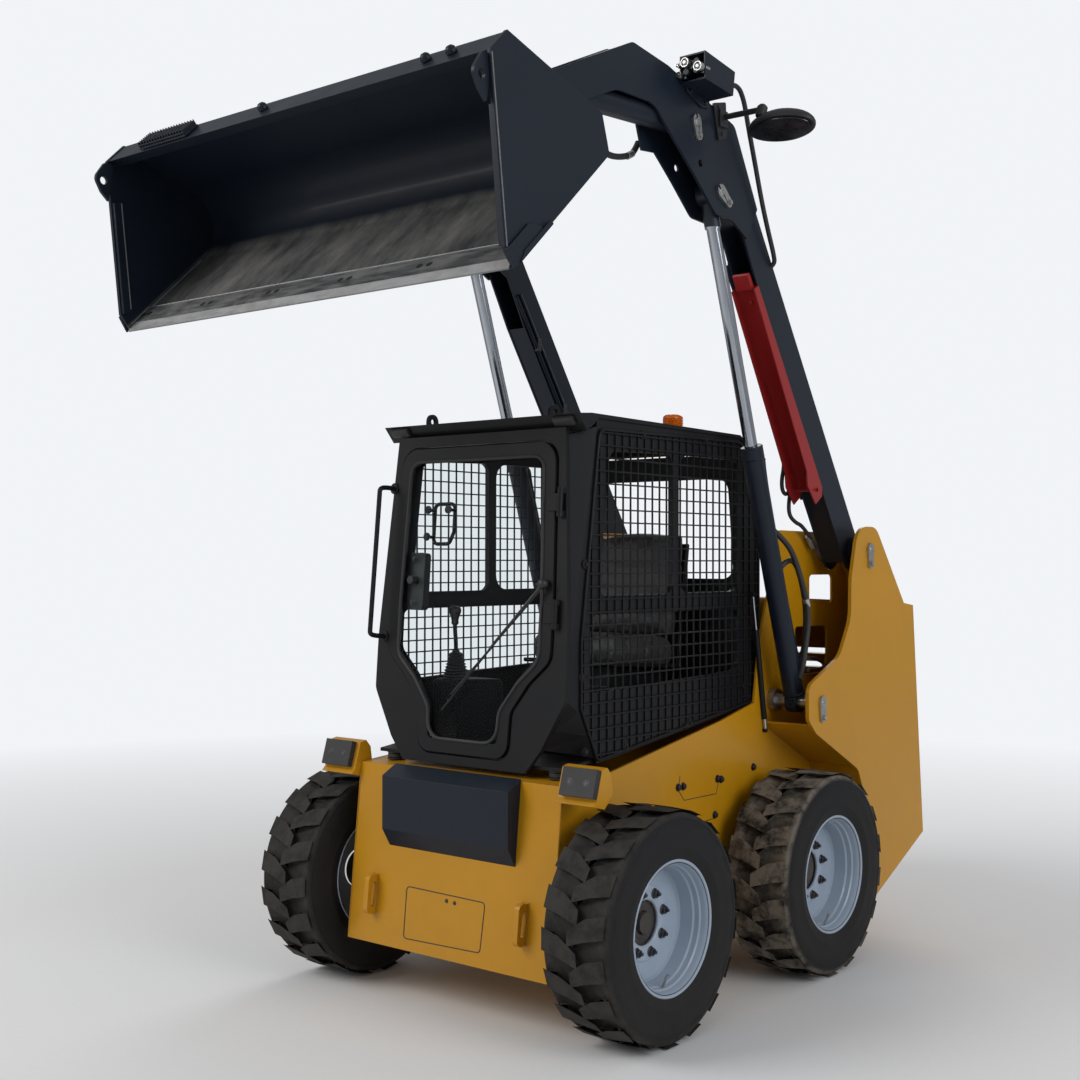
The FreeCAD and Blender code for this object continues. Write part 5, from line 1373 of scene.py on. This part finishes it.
def inflate(item, cap):
    """Swells a closed pad by cloth under pressure, and keeps each point within a cap."""
    mesher = item.modifiers.new("Remesh", "REMESH")
    mesher.mode = "VOXEL"
    mesher.voxel_size = CUSHION_VOXEL * MM
    settled(item)
    start = [vert.co.copy() for vert in item.data.vertices]
    cloth = item.modifiers.new("Cloth", "CLOTH")
    cloth.settings.quality = 5
    cloth.settings.mass = 0.3
    cloth.settings.tension_stiffness = 12
    cloth.settings.compression_stiffness = 12
    cloth.settings.shear_stiffness = 8
    cloth.settings.use_pressure = True
    cloth.settings.uniform_pressure_force = CUSHION_PRESSURE
    cloth.settings.effector_weights.gravity = 0.0
    scene = bpy.context.scene
    for number in range(1, CUSHION_FRAMES + 1):
        scene.frame_set(number)
    settled(item)
    scene.frame_set(1)
    for vert, place in zip(item.data.vertices, start):
        move = vert.co - place
        if move.length > cap:
            vert.co = place + move.normalized() * cap


def sew(item, lines, groove, width):
    """Presses sewn channels into a pad: each line is (axis, place), in metres."""
    for vert in item.data.vertices:
        depth = 0.0
        for axis, at in lines:
            depth = max(depth, math.exp(-((vert.co[axis] - at) / width) ** 2))
        if depth > 0.02:
            vert.co -= vert.normal * groove * depth


def build_cushions():
    """Seat: base and back cushions with sewn channels, and the stand below."""
    bm = bmesh.new()
    crowned(bm, spot(-232, 448, 1178), spot(232, 892, 1284))
    for vert in bm.verts:
        vert.co.z -= (vert.co.y - spot(0, 448, 0).y) * 0.066 - 6 * MM
    base = piece("seat_cushion", bm, "chassis", seat_vinyl())
    bm = bmesh.new()
    crowned(bm, spot(-222, 856, 1252), spot(222, 938, 1700))
    for vert in bm.verts:
        vert.co.y += (vert.co.z - 1.475) * 0.16
    back = piece("seat_back", bm, "chassis", seat_vinyl())
    for item in (base, back):
        inflate(item, CUSHION_CAP * MM)
    cross = [(1, spot(0, y, 0).y) for y in (560, 660, 760)]
    sew(base, [(0, -160 * MM), (0, 160 * MM)] + cross, 7 * MM, 7 * MM)
    sew(back, [(0, -150 * MM), (0, 150 * MM)] + [(2, z * MM) for z in (1360, 1460, 1560)], 7 * MM,
        7 * MM)
    for item in (base, back):
        soft = item.modifiers.new("Smooth", "SUBSURF")
        soft.levels = 1
        soft.render_levels = 1
        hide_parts("seat")
    bm = bmesh.new()
    stand = rounded([(500, 957, 0), (880, 1007, 0), (860, 1158, 10), (520, 1182, 10)])
    flat_sheet(bm, stand, lambda a, b: spot(-150, a, b), Vector((300 * MM, 0.0, 0.0)))
    pan = rounded([(440, 1178, 6), (888, 1150, 6), (888, 1164, 6), (440, 1194, 6)])
    flat_sheet(bm, pan, lambda a, b: spot(-215, a, b), Vector((430 * MM, 0.0, 0.0)))
    frame_bar = rounded([(905, 1150, 8), (930, 1150, 8), (1000, 1640, 8), (975, 1640, 8)])
    for x in (-190, 160):
        flat_sheet(bm, frame_bar, lambda a, b: spot(x, a - 4, b), Vector((30 * MM, 0.0, 0.0)))
    item = piece("seat_stand", bm, "chassis", cab_paint(), 1.5)
    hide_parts("seat")


def build_levers():
    """Control levers: console, ringed bellows, bent stick and a knob with its switches."""
    for side, sign in SIDES:
        bm = bmesh.new()
        console = rounded([(40, 897, 0), (300, 931, 0), (300, 1120, 24), (40, 1133, 24)])
        flat_sheet(bm, console, lambda a, b: spot(200 * sign, a, b), Vector((sign * 120 * MM, 0.0, 0.0)))
        item = piece("lever_console_" + side, bm, "chassis", cab_paint(), 4.0)
        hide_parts("controls")
        bm = bmesh.new()
        rings = [(0, 0), (54, 0), (54, 6)]
        count = 8
        for i in range(count):
            radius = 51 - i * 24 / count
            z = 8 + i * 90 / count
            rings += [(radius - 7, z), (radius, z + 5)]
        rings += [(22, 100), (14, 103), (14, 110), (0, 110)]
        add_spun(bm, metres(rings), spot(LEVER_X * sign, 100, 1126), (0.0, 0.0, 1.0), 40)
        item = piece("lever_boot_" + side, bm, "chassis", black_rubber(), 1.2)
        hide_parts("controls")
        stick = [spot(LEVER_X * sign, 100, 1228), spot(LEVER_X * sign, 100, 1270),
                 spot(256 * sign, 92, 1310),
                 spot(252 * sign, 88, 1350)]
        item = tube_mesh("lever_stick_" + side, stick, 16 * MM, "chassis", cab_paint())
        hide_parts("controls")
        bm = bmesh.new()
        knob = [(0, -8), (11, -8), (14, -2), (13, 8), (17, 24), (23, 38), (24, 48), (20, 57), (11, 62),
                (0, 63)]
        add_spun(bm, metres(knob), spot(252 * sign, 88, 1340), (-0.05 * sign, -0.06, 1.0), 36)
        for aside in (-7, 7):
            add_rod(
                bm, spot(252 * sign + aside - 3, 82, 1398), spot(252 * sign + aside - 3, 80, 1405),
                4 * MM
            )
        item = piece("lever_knob_" + side, bm, "chassis", black_plastic(), 0.6)
        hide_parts("controls")


def build_wiper_pieces():
    """Wiper on the door: spindle cap, sprung arm, bridge and blade."""
    out = on_front(0, 0, 1) - on_front(0, 0, 0)
    bm = bmesh.new()
    cap = [(0, 24), (9, 23), (15, 18), (18, 9), (18, 0), (0, 0)]
    add_spun(bm, metres(cap), on_front(352, 632, 19), out, 28)
    add_rod(bm, on_front(349, 620, 33), on_front(150, 420, 34), 8 * MM, 6 * MM, 4)
    add_rod(bm, on_front(154, 424, 34), on_front(128, 398, 31), 5 * MM, 5 * MM, 12)
    add_rod(bm, on_front(-40, 238, 30), on_front(290, 556, 30), 3.6 * MM, 3.6 * MM, 6)
    item = piece("wiper_arm", bm, "cab_door", black_plastic(), 0.8)
    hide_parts("wiper")
    bm = bmesh.new()
    add_rod(bm, on_front(-90, 180, 21), on_front(306, 590, 21), 3.2 * MM, segments=8)
    for a, b in ((-60, 212), (60, 336), (170, 450), (280, 563)):
        add_rod(bm, on_front(a, b, 21), on_front(a + 8, b + 8, 30), 3 * MM, segments=8)
    item = piece("wiper_blade", bm, "cab_door", black_rubber(), 0.0)
    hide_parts("wiper")


def build_rail():
    """Grab handle beside the door: a bent rod with bolted feet."""
    out = on_front(0, 0, 1) - on_front(0, 0, 0)
    line = [(-408, 980, 2), (-408, 980, 50), (-409, 972, 76), (-409, 950, 76), (-418, 460, 76),
            (-418, 436, 76),
            (-418, 430, 50), (-418, 430, 2)]
    points = [on_front(*p) for p in line]
    item = tube_mesh("grab_rail", points, 18 * MM, "chassis", cab_paint())
    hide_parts("grab_handle")
    bm = bmesh.new()
    for x, z in ((-408, 980), (-418, 430)):
        add_spun(bm, metres(((0, 6), (18, 6), (21, 3), (21, 0), (0, 0))),
                 on_front(x, z, 0), out, 28)
    item = piece("grab_feet", bm, "chassis", cab_paint(), 0.5)
    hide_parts("grab_handle")


def door_corners(inset):
    """Corners of the door opening, pulled in by some millimetres."""
    w = 455 - inset
    half = [(w - 237, 22 + inset, 62), (w - 231, 190, 60), (w - 155, 290, 70), (w - 65, 370, 70),
            (w - 63, 560, 20), (w - 83, 1128 - inset, 80 - inset * 0.6)]
    return half + [(-x, z, r) for x, z, r in reversed(half)]


def build_door_trim():
    """Gasket round the door glass, the latch with its loop handle, and the pull outside."""
    line = rounded(door_corners(56))
    bm = bmesh.new()
    points = [on_front(x, z, 8) for x, z in line]
    add_seam(bm, points + points[:1], 6.5 * MM)
    piece("door_gasket", bm, "cab_door", black_rubber(), 0.0)
    bm = bmesh.new()
    latch = rounded([(-331, 532, 14), (-250, 532, 14), (-250, 742, 14), (-331, 742, 14)])
    flat_sheet(bm, latch, lambda a, b: on_front(a, b, -20), on_front(0, 0, -52) - on_front(0, 0, -20))
    for z in (556, 718):
        add_bolt(bm, on_front(-290, z, -6), on_front(0, 0, 1) - on_front(0, 0, 0), 15 * MM)
    add_rod(bm, on_front(-290, 640, -22), on_front(-290, 640, 14), 15 * MM)
    piece("door_latch", bm, "cab_door", black_plastic(), 3.0)
    bm = bmesh.new()
    grip = rounded([(-239, 776, 20), (-160, 776, 20), (-139, 820, 20), (-139, 922, 20), (-239, 922, 20)])
    points = [on_front(x, z, -48) for x, z in grip]
    add_seam(bm, points + points[:1], 7 * MM)
    for x, z in ((-239, 800), (-239, 898), (-139, 898)):
        add_rod(bm, on_front(x, z, -48), on_front(x, z, -9), 6 * MM)
        add_rod(bm, on_front(x, z, -14), on_front(x, z, -8.5), 15 * MM, segments=24)
    piece("door_grip", bm, "cab_door", cab_paint(), 0.3)


def side_border():
    corners = [(-55, 1075, 20), (32, 892, 20), (1065, 1028, 30), (1078, 1105, 10), (1078, 1580, 20),
               (1020, 1985, 40), (935, 2033, 30), (45, 2022, 30), (-55, 1300, 20)]
    return rounded(corners)


def build_mesh_frames():
    """Rod round each side mesh, with its bolted tabs."""
    for side, sign in SIDES:
        x = MESH_ROD_X * sign
        points = [spot(x, y, z) for y, z in side_border()]
        bm = bmesh.new()
        add_seam(bm, points + points[:1], 5 * MM)
        for y, z in ((-50, 1180), (-30, 1560), (300, 2020), (700, 2026), (1068, 1300), (1030, 1900),
                     (600, 972),
                     (200, 918)):
            tab = spot(CAB_SIDE_X * sign, y, z)
            add_rod(bm, tab, spot((CAB_SIDE_X + 4.5) * sign, y, z), 16 * MM, segments=24)
            add_bolt(bm, spot((CAB_SIDE_X + 4) * sign, y, z), (sign, 0.0, 0.0), 13 * MM)
        for y, z in ((571, 964), (-31, 928), (965, 1085)):
            add_bolt(bm, spot(CAB_SIDE_X * sign, y, z), (sign, 0.0, 0.0), 19 * MM)
        piece("mesh_frame_" + side, bm, "chassis", cab_paint(), 0.4)


def build_mounts():
    """Cab isolators: rubber between stacked washers, with a through bolt."""
    bm = bmesh.new()
    for sign in (-1.0, 1.0):
        washers = [(0, 0), (34, 0), (34, 4), (24, 4), (24, 6), (31, 7), (31, 20), (24, 21), (24, 23),
                   (32, 23),
                   (32, 27), (0, 27)]
        add_spun(bm, metres(washers), spot(MOUNT_X * sign, -86, 838.5), (0, 0, 1), 40)
    item = piece("isolators", bm, "chassis", black_rubber(), 0.6)
    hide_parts("cab_mounts")
    bm = bmesh.new()
    for sign in (-1.0, 1.0):
        add_bolt(bm, spot(MOUNT_X * sign, -86, 830), (0, 0, -1), 24 * MM)
    piece("isolator_bolts", bm, "chassis", zinc(), 0.5)


# Frame
def build_frame_details():
    """Bolts, seams and hatch of the side and front plates, and weld beads of the loops."""
    seam = iron()
    bm = bmesh.new()
    bolts = bmesh.new()
    for sign in (-1.0, 1.0):
        x = SIDE_PLATE_X * sign
        for line in (((503, 791), (493, 739), (530, 698), (742, 697), (764, 746)),
                     ((675, 604), (742, 607))):
            add_seam(bm, [spot(x, y, z) for y, z in line], 1.6 * MM)
        for y, z in ((490, 750), (522, 750), (751, 752), (776, 747), (1007, 769), (733, 619)):
            add_bolt(bolts, spot(x, y, z), (sign, 0.0, 0.0), 19 * MM)

    def front(a, b):
        return spot(a, -240 + (b - 195) * 65 / 635 - 0.4, b)

    hatch = rounded([(-197, 416, 14), (175, 412, 14), (166, 245, 14), (-196, 236, 14)])
    points = [front(a, b) for a, b in hatch]
    add_seam(bm, points + points[:1], 1.8 * MM)
    for a, b in ((36, 391), (-2, 393)):
        add_rod(bolts, front(a, b), front(a, b) + Vector((0, -4 * MM, 0)), 7 * MM, 5 * MM)
    piece("plate_seams", bm, "chassis", seam)
    piece("plate_bolts", bolts, "chassis", dark_bolt(), 0.5)
    bm = bmesh.new()
    for sign in (-1.0, 1.0):
        for a in (341, 367):
            add_weld(bm, front(a * sign, 300), front(a * sign, 441), 3.5 * MM)
        edge = (SIDE_PLATE_X - 3) * sign
        add_weld(bm, front(edge, 215), front(edge, 800), 3.5 * MM)
    piece("front_welds", bm, "chassis", chassis_paint())
    bm = bmesh.new()
    for sign in (-1.0, 1.0):
        for x in (536, 604):
            along = Vector((0.0, 26.2, 90.0)).normalized()
            ahead = Vector((0.0, -90.0, 26.2)).normalized()
            at = spot(x * sign, -204.5, 808) + along * 45 * MM + ahead * 22 * MM
            # A dark disc round each bolt is painted shade of its hole; the bolt sits on it.
            add_spun(bm, hole_shade_profile(11.0), at, ahead, 24)
            add_bolt(bm, at - ahead * 4 * MM, ahead, 13 * MM, washer=False)
    piece("pad_bolts_and_hole_shade", bm, "chassis", dark_bolt(), 0.3)


def build_strut():
    """Gas strut behind the cab on each side."""
    for side, sign in SIDES:
        bm = bmesh.new()
        line = [spot(STRUT_X * sign, y, z) for y, z in ((962, 1448), (1017, 1303), (1077, 951),
                                                        (1069, 898))]
        way = (line[2] - line[1]).normalized()
        add_rod(bm, line[1] - way * 140 * MM, line[1] + way * 20 * MM, 5 * MM)
        add_rod(bm, line[2] - way * 2 * MM, line[2] + way * 44 * MM, 9 * MM, 6 * MM)
        piece("strut_rod_" + side, bm, "chassis", chrome(), 0.4)
        bm = bmesh.new()
        add_rod(bm, line[1], line[2], 10.5 * MM, segments=28)
        for end in (line[1] - way * 140 * MM, line[2] + way * 46 * MM):
            add_rod(bm, end - Vector((20 * sign * MM, 0, 0)), end + Vector((6 * sign * MM, 0, 0)),
                    9 * MM)
        piece("strut_tube_" + side, bm, "chassis", cab_paint(), 0.6)


def build_window_pipe():
    """Steel pipe in each tower's window."""
    line = [(1400, 1177), (1484, 1166), (1540, 1143), (1526, 1120), (1400, 1124)]
    for side, sign in SIDES:
        points = [spot(WINDOW_PIPE_X * sign, y, z) for y, z in line]
        tube_mesh("window_pipe_" + side, points, sizes().pipe, "chassis", zinc())


def build_rear():
    """Rear lamps in the bumper."""
    low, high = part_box("rear_bumper")
    bm = bmesh.new()
    glass = bmesh.new()
    for sign in (-1.0, 1.0):
        centre = Vector((REAR_LAMP_X * sign * MM, high[1], (low[2] + high[2]) / 2))
        outline = rounded([(-34, -20, 8), (34, -20, 8), (34, 20, 8), (-34, 20, 8)])
        flat_sheet(bm, outline, lambda a, b: centre + Vector((a * MM, -6 * MM, b * MM)), (0, 5 * MM, 0))
        for i in range(9):
            a = -27 + i * 54 / 8
            start = centre + Vector((a * MM, -1.8 * MM, -13 * MM))
            add_rod(glass, start, start + Vector((0, 0, 26 * MM)), 1.7 * MM, segments=8)
    piece("rear_lamp_frames", bm, "chassis", black_plastic(), 0.6)
    piece("rear_lamp_glass", glass, "chassis", lens("red_glass", (0.50, 0.02, 0.012), 0.3), 0.0)


# Arm lock
def build_lock():
    """Strip along the red arm lock's upper end, and its two bolts."""
    bm = bmesh.new()
    outline = rounded([(1236, -120, 0), (1236, -98, 0), (1300, -100, 10), (1300, -118, 10)])
    flat_sheet(bm, outline, lambda a, b: on_arm(552, a, b), Vector((66 * MM, 0.0, 0.0)))
    for along in (420, 1180):
        add_bolt(bm, on_arm(585, along, -98), on_arm(0, 0, -1) - on_arm(0, 0, 0), 19 * MM)
    piece("lock_bolts", bm, "boom", lock_paint(), 1.0)


# Operators
class LOADER_OT_stage(bpy.types.Operator):
    """Add the camera, the lamps and the pale floor"""

    bl_idname = "loader.stage"
    bl_label = "Stage"

    def execute(self, context):
        build_stage()
        return {"FINISHED"}


class LOADER_OT_finishes(bpy.types.Operator):
    """Give each solid of the loader its finish"""

    bl_idname = "loader.finishes"
    bl_label = "Finishes"

    def execute(self, context):
        finish_nodes()
        return {"FINISHED"}


class LOADER_OT_wheels(bpy.types.Operator):
    """Add the tyres with their lugs, and the rims with their nuts, dark hub faces of painted shade and
    valves
    """

    bl_idname = "loader.wheels"
    bl_label = "Wheels"

    def execute(self, context):
        for name in WHEELS:
            build_tyre(name)
            build_rim(name)
        return {"FINISHED"}


class LOADER_OT_bucket(bpy.types.Operator):
    """Add the bucket's weld beads, bars, bolt holes of painted shade, knobs and step"""

    bl_idname = "loader.bucket"
    bl_label = "Bucket"

    def execute(self, context):
        bucket_welds()
        bucket_bars()
        bucket_holes()
        step_teeth()
        return {"FINISHED"}


class LOADER_OT_boom(bpy.types.Operator):
    """Add the boom's retainers, couplings, hoses, pipes and mirrors, and the arm lock's bolts"""

    bl_idname = "loader.boom"
    bl_label = "Boom"

    def execute(self, context):
        boom_pin_pieces()
        coupler_fittings()
        boom_hoses()
        foot_fittings()
        build_mirror_pieces()
        build_lock()
        return {"FINISHED"}


class LOADER_OT_cylinders(bpy.types.Operator):
    """Add the cylinders' ports, pipes and hoses"""

    bl_idname = "loader.cylinders"
    bl_label = "Cylinders"

    def execute(self, context):
        cylinder_fittings()
        tower_hoses()
        return {"FINISHED"}


class LOADER_OT_cab(bpy.types.Operator):
    """Add the beacon, lamps, door trim, wiper, handles, mesh frames and mounts of the cab"""

    bl_idname = "loader.cab"
    bl_label = "Cab"

    def execute(self, context):
        build_beacon_pieces()
        build_lamps()
        build_door_trim()
        build_wiper_pieces()
        build_rail()
        build_mesh_frames()
        build_mounts()
        return {"FINISHED"}


class LOADER_OT_seat(bpy.types.Operator):
    """Add the padded seat with its stand, and the control levers"""

    bl_idname = "loader.seat"
    bl_label = "Seat and levers"

    def execute(self, context):
        build_cushions()
        build_levers()
        return {"FINISHED"}


class LOADER_OT_frame(bpy.types.Operator):
    """Add the bolts, seams, struts, pipes and rear lamps of the frame"""

    bl_idname = "loader.frame"
    bl_label = "Frame"

    def execute(self, context):
        build_frame_details()
        chassis_pin_bolts()
        build_strut()
        build_window_pipe()
        build_rear()
        return {"FINISHED"}


OPERATORS = (
    LOADER_OT_stage, LOADER_OT_finishes, LOADER_OT_wheels, LOADER_OT_bucket, LOADER_OT_boom,
    LOADER_OT_cylinders, LOADER_OT_cab, LOADER_OT_seat, LOADER_OT_frame,
)


class LOADER_PT_panel(bpy.types.Panel):
    """Loader pieces and settings"""

    bl_idname = "LOADER_PT_panel"
    bl_label = "Skid Steer Loader"
    bl_space_type = "VIEW_3D"
    bl_region_type = "UI"
    bl_category = "Loader"

    def draw(self, context):
        for operator in OPERATORS:
            self.layout.operator(operator.bl_idname)
        for group in (context.scene.loader_colours, context.scene.loader_sizes):
            for name in group.__annotations__:
                self.layout.prop(group, name)


CLASSES = (LoaderColours, LoaderSizes) + OPERATORS + (LOADER_PT_panel,)


def register():
    for item in CLASSES:
        bpy.utils.register_class(item)
    bpy.types.Scene.loader_colours = PointerProperty(type=LoaderColours)
    bpy.types.Scene.loader_sizes = PointerProperty(type=LoaderSizes)


def unregister():
    del bpy.types.Scene.loader_sizes
    del bpy.types.Scene.loader_colours
    for item in reversed(CLASSES):
        bpy.utils.unregister_class(item)


def main():
    register()
    for operator in OPERATORS:
        group, name = operator.bl_idname.split(".")
        getattr(getattr(bpy.ops, group), name)()


if __name__ == "__main__":
    main()
